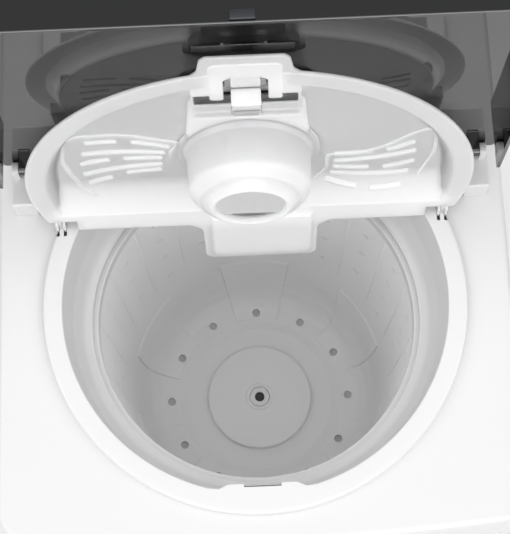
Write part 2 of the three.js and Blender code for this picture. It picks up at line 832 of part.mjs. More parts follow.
const brakePivot = [-74, -46];
const leverTop = -drumTopDrop - 9;
const leverThickness = 6;
const padThickness = 8;
const padHalfLength = 14;

function brakeBracket() {
  const foot = -mountPlateDrop + gap;
  const seat = leverTop - leverThickness - gap;
  const [x, y] = brakePivot;
  const base = block([x - 9, y - 9, foot], [x + 9, y + 9, seat]);
  const pivot = bar(3, leverTop + 4 - seat + 1, 'z', [x, y, (leverTop + 4 + seat - 1) / 2], 14);
  return join(base, pivot);
}

function brakeLever() {
  const [x, y] = brakePivot;
  const inner = -drumRadius - gap - padThickness - gap;
  const outline = polygon([
    [x - 7, y - 7], [x + 7, y - 7], [inner, y + 20], [inner, 32], [inner - 6, 36], [x - 6, 36],
    [x - 8, 0],
  ]);
  const arm = solid(prism(outline, leverTop - leverThickness, leverTop));
  const bore = bar(3 + gap, 30, 'z', [x, y, leverTop], 14);
  return cut(arm, bore);
}

function brakePad() {
  const back = -drumRadius - gap - padThickness;
  const body = block(
    [back, -padHalfLength, -drumTopDrop - drumHeight + 2],
    [-drumRadius + 4, padHalfLength, -drumTopDrop - 2],
  );
  return cut(body, bar(drumRadius + gap, 2 * drumHeight, 'z', [0, 0, -drumTopDrop - drumHeight / 2], 60));
}

// Sheath of the wire that links the outer lid to the brake.
function brakeCableSheath() {
  const x = -bodyWidth / 2 + cableRunInset;
  const y = cableRunY;
  const stopFace = -cableStopReach - gap;
  const end = -mountPlateDrop + cableStopHeight - 7;
  const runTop = deckUnder - gap;
  const down = (share) => runTop + share * (end - runTop);
  return pipe([
    [x, y, runTop], [x, y, down(0.3)], [x, y - 2, down(0.63)], [x + 1, y - 6, down(0.85)],
    [x + 14, y - 26, end + 25], [x + 44, y - 56, end + 4], [stopFace - 18, cableStopY, end],
    [stopFace, cableStopY, end],
  ], cableRadius, 0, 5, 18);
}

// ---- Rear console -------------------------------------------------------------------------------

const slopeRun = Math.tan(consoleSlope * degree);
const faceFront = consoleStep + 6;
const faceRear = consoleRear - 3;
const faceFrontHeight = 62;
const faceHeightAt = (y) => faceFrontHeight + (y - faceFront) * slopeRun;
const knobY = (faceFront + faceRear) / 2;
const fasciaHalfDepth = (faceRear - faceFront) / 2 - 4;
const fasciaThickness = 1.8;
const spindleRadius = 3.4;
const inletX = 6;
const inletHeight = 44;
const inletBore = 8;
const inletOuter = 12;
const spoutRadius = 5.5;
const spoutHeight = 13;
const spoutReach = consoleStep + consoleWall + gap + spoutRadius + 0.2;
const bumperX = 120;
const bumperHeight = 45;
const bumperRadius = 7;
const switchPlace = [ringOuter - 10.6, outerHingeReach - 11];
const switchHalfWidth = 8;
const plungerRadius = 4;
const switchBoreFoot = -2;
const plungerTravel = 3;
const earWidth = 5;
const earRadius = 5.2;

function rearConsole() {
  const sole = deckTop + gap;
  const top = faceHeightAt(faceRear);
  const outline = polygon([
    [consoleFront, sole], [consoleRear, sole], [consoleRear, top - 3], [faceRear, top],
    [faceFront, faceFrontHeight], [consoleStep, faceFrontHeight - 5], [consoleStep, shelfTop],
    [consoleFront + 1.5, shelfTop], [consoleFront, shelfTop - 1.5],
  ]);
  const w = consoleWall;
  const hollow = polygon([
    [consoleFront + w, sole - 1], [consoleRear - w, sole - 1], [consoleRear - w, top - 3 - w],
    [faceRear - w, faceHeightAt(faceRear - w) - w - 0.2],
    [faceFront + 1, faceHeightAt(faceFront + 1) - w - 0.2],
    [consoleStep + w, faceFrontHeight - 6], [consoleStep + w, shelfTop - shelfWall],
    [consoleFront + w, shelfTop - shelfWall],
  ]);
  const body = solid(prismAlongX(outline, -consoleHalfWidth, consoleHalfWidth));
  const cavity = solid(prismAlongX(hollow, -consoleHalfWidth + w, consoleHalfWidth - w));
  const panSlot = block(
    [-panSlotHalfWidth, consoleFront - 1, sole - 1],
    [panSlotHalfWidth, panSlotReach, shelfTop - shelfWall],
  );
  const ears = mirrored.flatMap((side) => mirrored.map((ear) => {
    const x = side * outerKnuckleReach + ear * (outerKnuckleWidth / 2 + gap + earWidth / 2);
    const foot = block(
      [x - earWidth / 2, outerHingeReach - earRadius, shelfTop - 1],
      [x + earWidth / 2, outerHingeReach + earRadius, outerHingeRise],
    );
    return join(foot, bar(earRadius, earWidth, 'x', [x, outerHingeReach, outerHingeRise], 12));
  }));
  const pinBores = mirrored.map((side) => bar(
    outerPinRadius + gap, 40, 'x', [side * outerKnuckleReach, outerHingeReach, outerHingeRise], 12,
  ));
  const inletHole = bar(inletOuter + gap, 20, 'y', [inletX, consoleRear, inletHeight], 20);
  const spindleHole = bar(spindleRadius + 1.6, 30, 'z', [0, 0, 0], 16);
  const switchHole = bar(plungerRadius + gap, 20, 'z', [...switchPlace, shelfTop], 16);
  const shell = cut(join(cut(body, cavity, panSlot), ...ears), ...pinBores, inletHole, switchHole);
  return cut(shell, spindleHole.transform(controlMatrix().toArray()));
}

// Place of the control face: its middle at the knob, tilted back.
function controlMatrix() {
  const matrix = new THREE.Matrix4().makeRotationX(consoleSlope * degree);
  return matrix.setPosition(knobReach, knobY, faceHeightAt(knobY));
}

function consoleFascia() {
  const left = -consoleHalfWidth + 31 - knobReach;
  const right = consoleHalfWidth - 21 - knobReach;
  const outline = roundedRectangle([left, -fasciaHalfDepth], [right, fasciaHalfDepth], 6);
  const plate = solid(prism(outline, gap, gap + fasciaThickness, 4));
  return cut(plate, bar(spindleRadius + 1.6, 20, 'z', [0, 0, 0], 16));
}

function timerUnit() {
  const top = -consoleWall - 2 * gap - 0.2;
  const halfDepth = fasciaHalfDepth - 6;
  const box = block([-23, -halfDepth, top - 28], [23, halfDepth, top]);
  return cut(box, bar(spindleRadius + 0.6, 24, 'z', [0, 0, top - 8], 14));
}

function timerSpindle() {
  return bar(spindleRadius, 32, 'z', [0, 0, -3], 14);
}

function timerKnob() {
  const under = gap + fasciaThickness + 0.5;
  const body = solid(turned([
    [0, under], [knobRadius, under], [knobRadius, under + 4], [knobRadius - 3, under + 6],
    [knobRadius - 5, knobHeight], [0, knobHeight],
  ], 20));
  const pointer = block([-2.5, -knobRadius + 1, under + 4], [2.5, knobRadius - 6, knobHeight + 3]);
  const bore = bar(spindleRadius + gap, 24, 'z', [0, 0, 1 + gap], 14);
  return cut(join(body, pointer), bore);
}

function rinseInlet() {
  const length = rearReach - 1 - (consoleRear - consoleWall);
  const inlet = turned([
    [inletBore, 0], [inletOuter, 0], [inletOuter, consoleWall + gap], [inletOuter + 5, consoleWall + gap],
    [inletOuter + 5, consoleWall + gap + 3], [inletOuter, consoleWall + gap + 3], [inletOuter, length],
    [inletBore, length], [inletBore, 0],
  ], 14);
  return inlet.rotateX(-Math.PI / 2).translate(inletX, consoleRear - consoleWall, inletHeight);
}

// Pipe from the inlet forward, bent down over the inner lid's pan.
function rinsePipe() {
  const start = consoleRear - consoleWall - gap;
  return pipe([
    [inletX, start, inletHeight], [inletX, start - 12, inletHeight],
    [inletX, spoutReach + 14, inletHeight - 3], [inletX, spoutReach + 2, inletHeight - 14],
    [inletX, spoutReach, spoutHeight + 11], [inletX, spoutReach, spoutHeight],
  ], spoutRadius, spoutRadius - 1.5, 8, 8);
}

function lidBumper(side) {
  const front = outerFaceReach + outerLidThickness + gap;
  const back = consoleStep - gap;
  return bar(bumperRadius, back - front, 'y', [side * bumperX, (front + back) / 2, bumperHeight], 18);
}

function lidSwitch() {
  const [x, y] = switchPlace;
  const body = block(
    [x - switchHalfWidth, y - switchHalfWidth, deckTop + gap],
    [x + switchHalfWidth, y + switchHalfWidth, shelfTop - shelfWall - gap],
  );
  return cut(body, bar(plungerRadius + gap, 20, 'z', [x, y, switchBoreFoot + 10], 16));
}

const closedLidFace = outerHingeRise + outerFaceReach - outerHingeReach;

function lidSwitchPlunger() {
  const top = closedLidFace - 0.6 + plungerTravel;
  const foot = switchBoreFoot + plungerTravel + 0.5;
  return bar(plungerRadius, top - foot, 'z', [...switchPlace, (top + foot) / 2], 16);
}

// ---- Inner lid (closed, from its hinge axis) ----------------------------------------------------

const low = -lidRimDepth;
const high = lidTopHeight;

// The D-shaped outline: a round front, drawn in by an inset, cut straight at the hinge side.
function lidOutline(inset, rear) {
  const radius = lidOuterRadius - inset;
  const start = Math.asin((lidCentreReach + rear) / radius);
  const shape = new THREE.Shape();
  shape.absarc(0, -lidCentreReach, radius, Math.PI - start, 2 * Math.PI + start);
  return shape;
}

const frontTab = polygon([
  [-tabRootHalfWidth - 9, -tabReach + 23], [-tabRootHalfWidth, -tabReach + 16],
  [-tabHalfWidth - 1.5, -tabReach + 5], [-tabHalfWidth + 4, -tabReach], [tabHalfWidth - 4, -tabReach],
  [tabHalfWidth + 1.5, -tabReach + 5], [tabRootHalfWidth, -tabReach + 16],
  [tabRootHalfWidth + 9, -tabReach + 23],
]);

// Dashes of one wing of vents: [inner x, outer x, inner reach, outer reach] from its five rows.
function ventDashes(side) {
  const inner = side < 0 ? 106.6 : 86;
  const outer = side < 0 ? 117.3 : 101;
  const innerPitch = side < 0 ? 8.2 : 8.8;
  const outerPitch = 15.2;
  const innerX = 58;
  const outerX = 117;
  const dashes = [];
  for (let row = 0; row < 5; row += 1) {
    const near = [side * innerX, inner - row * innerPitch];
    const far = [side * outerX, outer - row * outerPitch];
    const at = (t) => near.map((value, i) => value + (far[i] - value) * t);
    if (row % 2 === 1) {
      dashes.push([near, far]);
    } else {
      dashes.push([near, at(0.46)], [at(0.62), far]);
    }
  }
  return dashes;
}

const ventHeight = 3.6;

function ventCutter([[x0, s0], [x1, s1]]) {
  const cutter = new THREE.BoxGeometry(Math.hypot(x1 - x0, s1 - s0), ventHeight, 12);
  cutter.rotateZ(Math.atan2(-(s1 - s0), x1 - x0));
  return solid(cutter.translate((x0 + x1) / 2, -(s0 + s1) / 2, lidPanelLow));
}

function innerLid() {
  const outer = solid(prism(lidOutline(0, lidRearEdge), low, high, 22));
  const below = solid(prism(lidOutline(lidRimWidth, -50), low - 1, lidPanelLow, 18));
  const above = solid(prism(lidOutline(lidRimWidth, -12), lidPanelHigh, high + 1, 18));
  const band = solid(prismAlongX(polygon([
    [lidRearEdge, low], [lidRearEdge, high], [-bandTopReach, high], [-bandReach, lidPanelHigh],
    [-bandReach, lidPanelLow], [-bandFootReach, low],
  ]), -bandHalfWidth, bandHalfWidth));
  const hollowSlope = solid(prismAlongX(polygon([
    [-bandFootReach, low - 1], [-bandFootReach, low], [-bandReach, lidPanelLow],
    [-bandReach - 2, lidPanelLow], [-bandReach - 2, low - 1],
  ]), -slopeHalfWidth, slopeHalfWidth));
  const tab = solid(prism(frontTab, low + 2.4, high));
  const neck = block([-neckHalfWidth, -blockNear, 2], [neckHalfWidth, -cupReach, lidPanelLow + 1]);
  const ledge = block([-blockHalfWidth, -windowNear, low], [blockHalfWidth, -blockNear, lidPanelLow + 1]);
  const guardNear = -windowNear - 3.5;
  const guard = solid(prism(polygon([
    [-guardHalfWidth, guardNear], [-guardThroat, guardNear], [-guardThroat, -guardInnerReach],
    [-guardThroat + 5.4, -guardInnerReach - 4], [guardThroat - 5.4, -guardInnerReach - 4],
    [guardThroat, -guardInnerReach], [guardThroat, guardNear], [guardHalfWidth, guardNear],
    [guardHalfWidth, -guardReach + 7], [guardHalfWidth - 6, -guardReach],
    [-guardHalfWidth + 6, -guardReach], [-guardHalfWidth, -guardReach + 7],
  ]), low, high));
  let body = cut(outer, below, above);
  body = join(body, cut(band, solid(prism(lidOutline(-40, -16), high - 1.4, high + 1))), tab, neck, ledge);
  body = cut(body, hollowSlope);
  const opening = block([-windowHalfWidth, -windowFar, low - 4], [windowHalfWidth, -windowNear, high + 4]);
  const groove = block(
    [-latchHalfWidth - 1, -windowNear - 1, low - 1],
    [latchHalfWidth + 1, -latchPivotReach - 0.8, low + 4.2],
  );
  const pocketHalfWidth = guardThroat - 0.4;
  const pocket = block(
    [-pocketHalfWidth, -guardInnerReach - 1, low - 4],
    [pocketHalfWidth, -windowFar + 1, low + 4.2],
  );
  const cupHole = bar(cupRadius - 4, 30, 'z', [0, -cupReach, lidPanelLow], 24);
  const cupSeat = bar(plinthRadius + gap, 30, 'z', [0, -cupReach, lidPanelLow - 15], 24);
  const vents = mirrored.flatMap((side) => ventDashes(side).map(ventCutter));
  body = cut(join(cut(body, opening), guard), groove, pocket, cupHole, cupSeat, ...vents);
  const clipNotches = mirrored.map((side) => block(
    [side * (clipReach + 2) - 8.5, -10, low - 1],
    [side * (clipReach + 2) + 8.5, 12, high + 1],
  ));
  const trimHalfWidth = 20;
  const cornerTrims = mirrored.map((side) => block(
    [side * (bandHalfWidth + 2) - trimHalfWidth, 1.5, low - 1],
    [side * (bandHalfWidth + 2) + trimHalfWidth, lidRearEdge + 1, high + 1],
  ));
  const knuckles = mirrored.map((side) => {
    const x = side * clipReach;
    const reach = clipHalfWidth - gap;
    const arm = block([x - reach, -11, -3.6], [x + reach, 0, 3.6]);
    return join(arm, bar(3.6, 2 * reach, 'x', [x, 0, 0], 18));
  });
  body = join(cut(body, ...clipNotches, ...cornerTrims), ...knuckles, lidPan());
  const pinBores = mirrored.map((side) => bar(pinRadius + 0.1, 12, 'x', [side * clipReach, 0, 0], 14));
  return cut(body, ...pinBores);
}

// Water pan behind the hinge, open on top, which leads into the lid.
function lidPan() {
  const x0 = panShift - panHalfWidth;
  const x1 = panShift + panHalfWidth;
  const top = panFloorHigh;
  const lip = top + panWall;
  const rim = solid(prism(roundedRectangle([x0, -6], [x1, panReach], 10), panLipLow, lip, 4));
  const dish = solid(prism(roundedRectangle(
    [x0 + panWall, lidRearEdge + 1], [x1 - panWall, panReach - panWall], 8,
  ), top, lip + 1, 4));
  const tray = solid(prism(roundedRectangle([x0 + 8, -12], [x1 - 5, panReach - 9], 8), low - 5, top, 4));
  const trayRoot = block([x0 + 8, -14, low - 5], [x1 - 5, lidRearEdge, low + 1]);
  const hollow = solid(prism(roundedRectangle(
    [x0 + 8 + panWall, lidRearEdge + 1], [x1 - 5 - panWall, panReach - 9 - panWall], 6,
  ), low - 5 + panWall, top + 1, 4));
  return cut(join(rim, tray, trayRoot), dish, hollow);
}

// Cup that lets the rinse water fall into the basket's middle.
function sprayCup() {
  const top = lidPanelLow - gap;
  const foot = -cupDrop;
  const r = cupRadius;
  const w = cupWall;
  const shell = solid(turned([
    [plinthRadius, top], [plinthRadius, top - 2.6], [r + 1, top - 4], [r, top - 14], [r - 0.8, foot + 20],
    [r - 4.5, foot + 10], [r - 11, foot + 3.5], [cupEndRadius + 1.5, foot], [cupEndRadius, foot],
    [cupEndRadius - 0.8, foot + 2.4], [0, foot + 2.4], [0, foot + 2.4 + w], [cupEndRadius, foot + 2.4 + w],
    [r - 12, foot + 3.5 + w], [r - 4.5 - w, foot + 11], [r - 0.8 - w, foot + 21], [r - w, top],
    [plinthRadius, top],
  ], 24));
  const mouth = 16;
  const segment = bar(cupEndRadius - 2, 12, 'z', [0, 0, foot + 4], 28)
    .intersect(block([-40, mouth, foot - 4], [40, 40, foot + 12]));
  return geometryOf(cut(shell, segment)).translate(0, -cupReach, 0);
}

function innerHingePin(side) {
  return bar(pinRadius, 2 * (clipHalfWidth + clipEar), 'x', [side * clipReach, 0, 0], 14);
}

// Springy arm with a finger button on top and a hook at its tip.
function latchArm() {
  const top = low + 3.6;
  const under = top - latchThickness;
  const w = latchHalfWidth;
  const strip = block([-w, -latchTipReach, under], [w, -latchPivotReach - 1.6, top]);
  const button = block(
    [-buttonHalfWidth, -windowFar + 1.8, top - 0.5],
    [buttonHalfWidth, -windowNear - 0.8, high - 1],
  );
  const hook = solid(prismAlongX(polygon([
    [-latchTipReach, top], [-latchTipReach, -15], [-latchTipReach + 1.6, -17], [-latchTipReach + 3.2, -15],
    [-latchTipReach + 3.2, top],
  ]), -w, w));
  return join(strip, button, hook);
}

// ---- Outer lid (open) ---------------------------------------------------------------------------

function outerLidOutline(inset, foot) {
  const half = outerLidHalfWidth - inset;
  const top = outerLidTop - inset;
  const r = outerCorner - inset;
  const shape = new THREE.Shape();
  shape.moveTo(-half, foot);
  shape.lineTo(half, foot);
  shape.absarc(half - r, top - r, r, 0, Math.PI / 2);
  shape.absarc(-half + r, top - r, r, Math.PI / 2, Math.PI);
  return shape;
}

function outerLidFrame() {
  const face = outerFaceReach;
  const back = face + outerLidThickness;
  const body = solid(prismAlongY(outerLidOutline(0, outerLidFoot), face - outerLipDepth, back));
  const inside = outerLidOutline(outerLipWall, outerLidFoot - 1);
  const hollow = solid(prismAlongY(inside, face - outerLipDepth - 1, face));
  const hingeSide = block(
    [-outerLidHalfWidth - 1, face - outerLipDepth - 1, outerLidFoot - 1],
    [outerLidHalfWidth + 1, face, outerLidFoot + outerLipClear],
  );
  const paneOpening = block(
    [-paneHalfWidth - gap, face - 1, paneFoot - gap],
    [paneHalfWidth + gap, back + 1, paneTop + gap],
  );
  const knuckles = mirrored.map((side) => {
    const x = side * outerKnuckleReach;
    const half = outerKnuckleWidth / 2;
    const arm = block(
      [x - half, outerHingeReach, outerHingeRise - 4],
      [x + half, face + 1, outerHingeRise + 5],
    );
    const axis = [x, outerHingeReach, outerHingeRise];
    return join(arm, bar(outerKnuckleRadius, outerKnuckleWidth, 'x', axis, 18));
  });
  const bores = mirrored.map((side) => bar(
    outerPinRadius + 0.1, 3 * outerKnuckleWidth, 'x',
    [side * outerKnuckleReach, outerHingeReach, outerHingeRise], 14,
  ));
  return cut(join(cut(body, hollow, hingeSide, paneOpening), ...knuckles), ...bores);
}

function outerLidPane() {
  return block(
    [-paneHalfWidth, outerFaceReach, paneFoot],
    [paneHalfWidth, outerFaceReach + outerLidThickness, paneTop],
  );
}

function outerLidGrip() {
  const front = outerFaceReach - outerLipDepth;
  const shape = roundedRectangle([-7.7, front + 1.5], [7.7, front + 8], 1.2);
  return prism(shape, outerLidTop + gap, outerLidTop + 2.4, 3);
}

function outerHingePin(side) {
  const length = outerKnuckleWidth + 2 * gap + 2 * earWidth - 1;
  return bar(outerPinRadius, length, 'x', [side * outerKnuckleReach, outerHingeReach, outerHingeRise], 14);
}

// ---- Materials ----------------------------------------------------------------------------------

const finish = (color, roughness, metalness = 0) => ({ color, roughness, metalness });
const whiteGloss = finish(0xf4f5f6, 0.25);
const whiteMatt = finish(0xe9ebec, 0.45);
const basketGrey = finish(0xc9ccce, 0.4);
const smoked = finish(0x17181a, 0.06);
const darkFrame = finish(0x232527, 0.3);
const steel = finish(0xb4b7ba, 0.35, 1);
const castGrey = finish(0x6b6e71, 0.6, 0.6);
const blackRubber = finish(0x1c1c1d, 0.85);
const greyPlastic = finish(0x9aa0a4, 0.5);

// ---- Assembly -----------------------------------------------------------------------------------

const dryer = new THREE.Group();
const well = new THREE.Group();
well.position.set(0, tubAxisY, ringHeight);
const floor = new THREE.Group();
floor.position.set(0, tubAxisY, 0);
const control = new THREE.Group();
control.applyMatrix4(controlMatrix());
const innerLidGroup = new THREE.Group();
innerLidGroup.position.set(0, innerHingeReach, innerHingeRise);
innerLidGroup.rotation.x = -innerOpenAngle * degree;
dryer.add(well, floor);
well.add(control, innerLidGroup);

// Adds a named piece to a frame; a geometry is first made into a clean solid.
function add(parent, name, shape, look) {
  const body = shape instanceof THREE.BufferGeometry ? solid(shape) : shape;
  const mesh = new THREE.Mesh(geometryOf(body), new THREE.MeshStandardMaterial(look));
  mesh.name = name;
  parent.add(mesh);
  return mesh;
}

add(floor, 'cabinet', cabinet(), whiteGloss);
add(floor, 'base_pan', basePan(), greyPlastic);
add(floor, 'rear_cover', rearCover(), whiteMatt);
screwPlaces.forEach((place, i) => add(floor, `rear_cover_screw_${i + 1}`, coverScrew(place), steel));
const footRows = [['front', -frontReach + frontBow + footInset], ['rear', rearWallReach - footInset]];
for (const [endName, y] of footRows) {
  for (const side of mirrored) {
    const place = foot().translate(side * (bodyWidth / 2 - footInset), y, 0);
    add(floor, `foot_${endName}_${side < 0 ? 'left' : 'right'}`, place, blackRubber);
  }
}
add(floor, 'drain_tube', drainTube(), greyPlastic);
add(floor, 'drain_socket', drainSocket(), greyPlastic);
add(floor, 'power_cord_gland', cordGland(), blackRubber);
springPlaces.forEach(([x, y], i) => {
  add(floor, `suspension_spring_${i + 1}`, suspensionSpring().translate(x, y, 0), steel);
});
const capacitorPlace = [bodyWidth / 2 - 67, 63 - frontReach, baseHeight + baseThickness + gap];
add(floor, 'motor_capacitor', capacitor().translate(...capacitorPlace), greyPlastic);

add(well, 'top_deck', topDeck(), whiteGloss);
add(well, 'latch_keeper', latchKeeper(), steel);
add(well, 'outer_tub', outerTub(), whiteMatt);
add(well, 'tub_seal', tubSeal(), blackRubber);
add(well, 'basket', basket(), basketGrey);
add(well, 'basket_rim', basketRim(), whiteMatt);
add(well, 'hub_disc', hubDisc(), basketGrey);
add(well, 'hub_bolt', hubBolt(), greyPlastic);
add(well, 'drive_shaft', driveShaft(), steel);
add(well, 'brake_drum', brakeDrum(), castGrey);
add(well, 'motor_mount_plate', motorMountPlate(), steel);
add(well, 'motor_top_cap', motorTopCap(), castGrey);
add(well, 'motor_shell', motorShell(), castGrey);
add(well, 'motor_stator', motorStator(), castGrey);
add(well, 'motor_rotor', motorRotor(), castGrey);
add(well, 'brake_bracket', brakeBracket(), steel);
add(well, 'brake_lever', brakeLever(), steel);
add(well, 'brake_pad', brakePad(), blackRubber);
add(well, 'brake_cable_sheath', brakeCableSheath(), blackRubber);
add(well, 'rear_console', rearConsole(), whiteGloss);
add(well, 'rinse_inlet', rinseInlet(), greyPlastic);
add(well, 'rinse_pipe', rinsePipe(), greyPlastic);
add(well, 'lid_switch', lidSwitch(), darkFrame);
add(well, 'lid_switch_plunger', lidSwitchPlunger(), whiteMatt);
for (const side of mirrored) {
  const hand = side < 0 ? 'left' : 'right';
  add(well, `inner_lid_clip_${hand}`, hingeClip(side), whiteGloss);
  add(innerLidGroup, `inner_lid_pin_${hand}`, innerHingePin(side), steel);
  add(well, `lid_bumper_${hand}`, lidBumper(side), blackRubber);
  add(well, `outer_lid_pin_${hand}`, outerHingePin(side), steel);
}
add(well, 'outer_lid_frame', outerLidFrame(), darkFrame);
add(well, 'outer_lid_pane', outerLidPane(), smoked);
add(well, 'outer_lid_grip', outerLidGrip(), darkFrame);

add(control, 'console_fascia', consoleFascia(), greyPlastic);
add(control, 'timer_unit', timerUnit(), darkFrame);
add(control, 'timer_spindle', timerSpindle(), whiteMatt);
add(control, 'timer_knob', timerKnob(), whiteGloss);

add(innerLidGroup, 'inner_lid', innerLid(), whiteGloss);
add(innerLidGroup, 'spray_cup', sprayCup(), whiteGloss);
add(innerLidGroup, 'latch_arm', latchArm(), whiteGloss);

export default dryer;
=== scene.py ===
"""Looks of a laundry spin dryer that stands with both lids open.

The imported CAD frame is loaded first. Each sub-assembly is a class that builds its mouldings in
millimetres in one of the machine's own frames and dresses the plain CAD parts that are left. The
"well" frame has its zero on the basket's axis, at the top of the ring round the opening. The inner
lid is drawn closed round its hinge axis, and its frame turns it to where it stands at rest.
"""

from __future__ import annotations

import json
import logging
import math
from abc import ABC, abstractmethod
from dataclasses import dataclass, field
from enum import Enum
from typing import Any, Iterable, Sequence

import bmesh
import bpy
from mathutils import Matrix, Vector

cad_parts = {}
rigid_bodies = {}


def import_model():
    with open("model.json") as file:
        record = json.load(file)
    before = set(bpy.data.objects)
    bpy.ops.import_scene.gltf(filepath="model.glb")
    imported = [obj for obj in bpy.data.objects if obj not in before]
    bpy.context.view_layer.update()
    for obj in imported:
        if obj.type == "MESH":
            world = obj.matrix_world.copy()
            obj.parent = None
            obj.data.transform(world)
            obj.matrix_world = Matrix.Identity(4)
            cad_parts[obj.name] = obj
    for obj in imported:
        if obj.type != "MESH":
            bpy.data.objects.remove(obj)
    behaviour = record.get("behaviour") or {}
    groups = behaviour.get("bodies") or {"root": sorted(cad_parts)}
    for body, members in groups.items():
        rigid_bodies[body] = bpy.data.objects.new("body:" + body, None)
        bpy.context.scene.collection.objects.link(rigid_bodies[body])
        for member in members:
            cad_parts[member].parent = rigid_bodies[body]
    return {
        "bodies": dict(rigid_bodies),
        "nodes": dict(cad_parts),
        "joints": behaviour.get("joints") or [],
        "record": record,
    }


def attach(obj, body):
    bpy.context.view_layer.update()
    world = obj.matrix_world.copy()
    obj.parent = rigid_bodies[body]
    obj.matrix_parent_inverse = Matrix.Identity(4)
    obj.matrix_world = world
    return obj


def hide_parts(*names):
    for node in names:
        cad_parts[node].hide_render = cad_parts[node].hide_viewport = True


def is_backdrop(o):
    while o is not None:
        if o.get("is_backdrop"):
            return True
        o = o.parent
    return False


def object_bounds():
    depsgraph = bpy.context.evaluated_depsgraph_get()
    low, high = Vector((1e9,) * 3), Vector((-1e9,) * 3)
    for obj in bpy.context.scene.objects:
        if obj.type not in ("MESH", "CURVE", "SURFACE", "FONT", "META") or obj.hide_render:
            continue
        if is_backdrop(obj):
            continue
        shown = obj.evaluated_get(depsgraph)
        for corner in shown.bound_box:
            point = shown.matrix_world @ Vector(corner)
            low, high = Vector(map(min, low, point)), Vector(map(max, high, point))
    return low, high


LOG = logging.getLogger("spin_dryer")

Shape = bmesh.types.BMesh
Socket = bpy.types.NodeSocket
Pair = tuple[float, float]
Triple = tuple[float, float, float]
Corner = tuple[float, float, float]  # A point (u, v) and the radius of its rounding.
Colour = tuple[float, float, float, float]

MM = 0.001
MERGE_DISTANCE = 1e-4
SIDES = (-1, 1)
TUB_AXIS_Y = -9.5
RING_HEIGHT = 690.0
INNER_HINGE: Pair = (65.0, 5.4)
INNER_OPEN = -96.68
CLIP_REACH = 145.2
OUTER_HINGE: Pair = (103.0, 23.5)
OUTER_HINGE_REACH = 169.5

WELL = Matrix.Translation((0.0, TUB_AXIS_Y * MM, RING_HEIGHT * MM)) @ Matrix.Scale(MM, 4)
FLOOR = Matrix.Translation((0.0, TUB_AXIS_Y * MM, 0.0)) @ Matrix.Scale(MM, 4)
LID = (
    WELL
    @ Matrix.Translation((0.0, *INNER_HINGE))
    @ Matrix.Rotation(math.radians(INNER_OPEN), 4, "X")
)


class Plane(Enum):
    """The plane in which an outline is drawn. Its value is the index of the third axis."""

    XY = 2
    YZ = 0
    XZ = 1

    def point(self, u: float, v: float, w: float) -> Triple:
        """Puts an outline's point (u, v) at the distance w along the third axis."""
        if self is Plane.XY:
            return (u, v, w)
        return (w, u, v) if self is Plane.YZ else (u, w, v)


class Ends(Enum):
    """Which ends of a prism are rounded: 0 is the low end and 1 the high end."""

    BOTH = (0, 1)
    LOW = (0,)
    HIGH = (1,)


class Combine(Enum):
    """What a Boolean modifier does with its tool."""

    CUT = "DIFFERENCE"
    ADD = "UNION"
    KEEP = "INTERSECT"


Step = tuple[Combine, Shape]


# ---- Outlines -----------------------------------------------------------------------------------


def eased(corners: Sequence[Corner], closed: bool = True, steps: int = 6) -> list[Pair]:
    """Rounds the corners of an outline.

    Args:
        corners: Points as (u, v, radius), in millimetres.
        closed: Whether the last point joins the first.
        steps: Pieces in each rounded corner.

    Returns:
        The outline as plain points.
    """
    points: list[Pair] = []
    count = len(corners)
    for i, (u, v, radius) in enumerate(corners):
        here = Vector((u, v))
        if radius <= 0.0 or (not closed and i in (0, count - 1)):
            points.append((u, v))
            continue
        back = Vector(corners[i - 1][:2]) - here
        ahead = Vector(corners[(i + 1) % count][:2]) - here
        half = back.angle(ahead) / 2.0
        # A rounding takes less than half of either side, so that it can't meet the next one.
        reach = min(radius / math.tan(half), 0.49 * back.length, 0.49 * ahead.length)
        start = here + back.normalized() * reach
        end = here + ahead.normalized() * reach
        for k in range(steps + 1):
            t = k / steps
            point = start * (1 - t) ** 2 + here * (2 * t * (1 - t)) + end * t * t
            points.append((point.x, point.y))
    return points


def polar(radius: float, angle: float) -> Pair:
    """The point at a distance and an angle, in degrees, from the zero point."""
    turn = math.radians(angle)
    return (radius * math.cos(turn), radius * math.sin(turn))


def mirrored(half: Sequence[Corner]) -> list[Corner]:
    """Follows corners with their mirror images, so that the whole is alike on both sides."""
    return [*half, *[(-u, v, radius) for u, v, radius in reversed(half)]]


def rectangle(
    left: float, right: float, first: float, second: float,
    first_round: float, second_round: float, steps: int = 6,
) -> list[Pair]:
    """Outline of a rectangle whose corners are rounded.

    Args:
        left: Its lowest u, in millimetres.
        right: Its highest u.
        first: v of the side that is drawn first.
        second: v of the opposite side.
        first_round: Rounding of the first side's corners.
        second_round: Rounding of the opposite side's corners.
        steps: Pieces in each rounded corner.

    Returns:
        The outline as plain points.
    """
    return eased([(left, first, first_round), (right, first, first_round),
                  (right, second, second_round), (left, second, second_round)], steps=steps)


def ribbon(points: Sequence[Pair], width: float) -> list[Pair]:
    """The outline of a strip that follows an open line and narrows towards its ends.

    Args:
        points: The strip's middle line, in millimetres.
        width: Its full width.

    Returns:
        The outline, out along one side and back along the other.
    """
    left: list[Pair] = []
    right: list[Pair] = []
    last = len(points) - 1
    for i, (u, v) in enumerate(points):
        along = Vector(points[min(i + 1, last)]) - Vector(points[max(i - 1, 0)])
        share = min(1.0, 0.3 + 0.35 * min(i, last - i))
        across = Vector((-along.y, along.x)).normalized() * width / 2.0 * share
        left.append((u + across.x, v + across.y))
        right.append((u - across.x, v - across.y))
    return [*left, *reversed(right)]


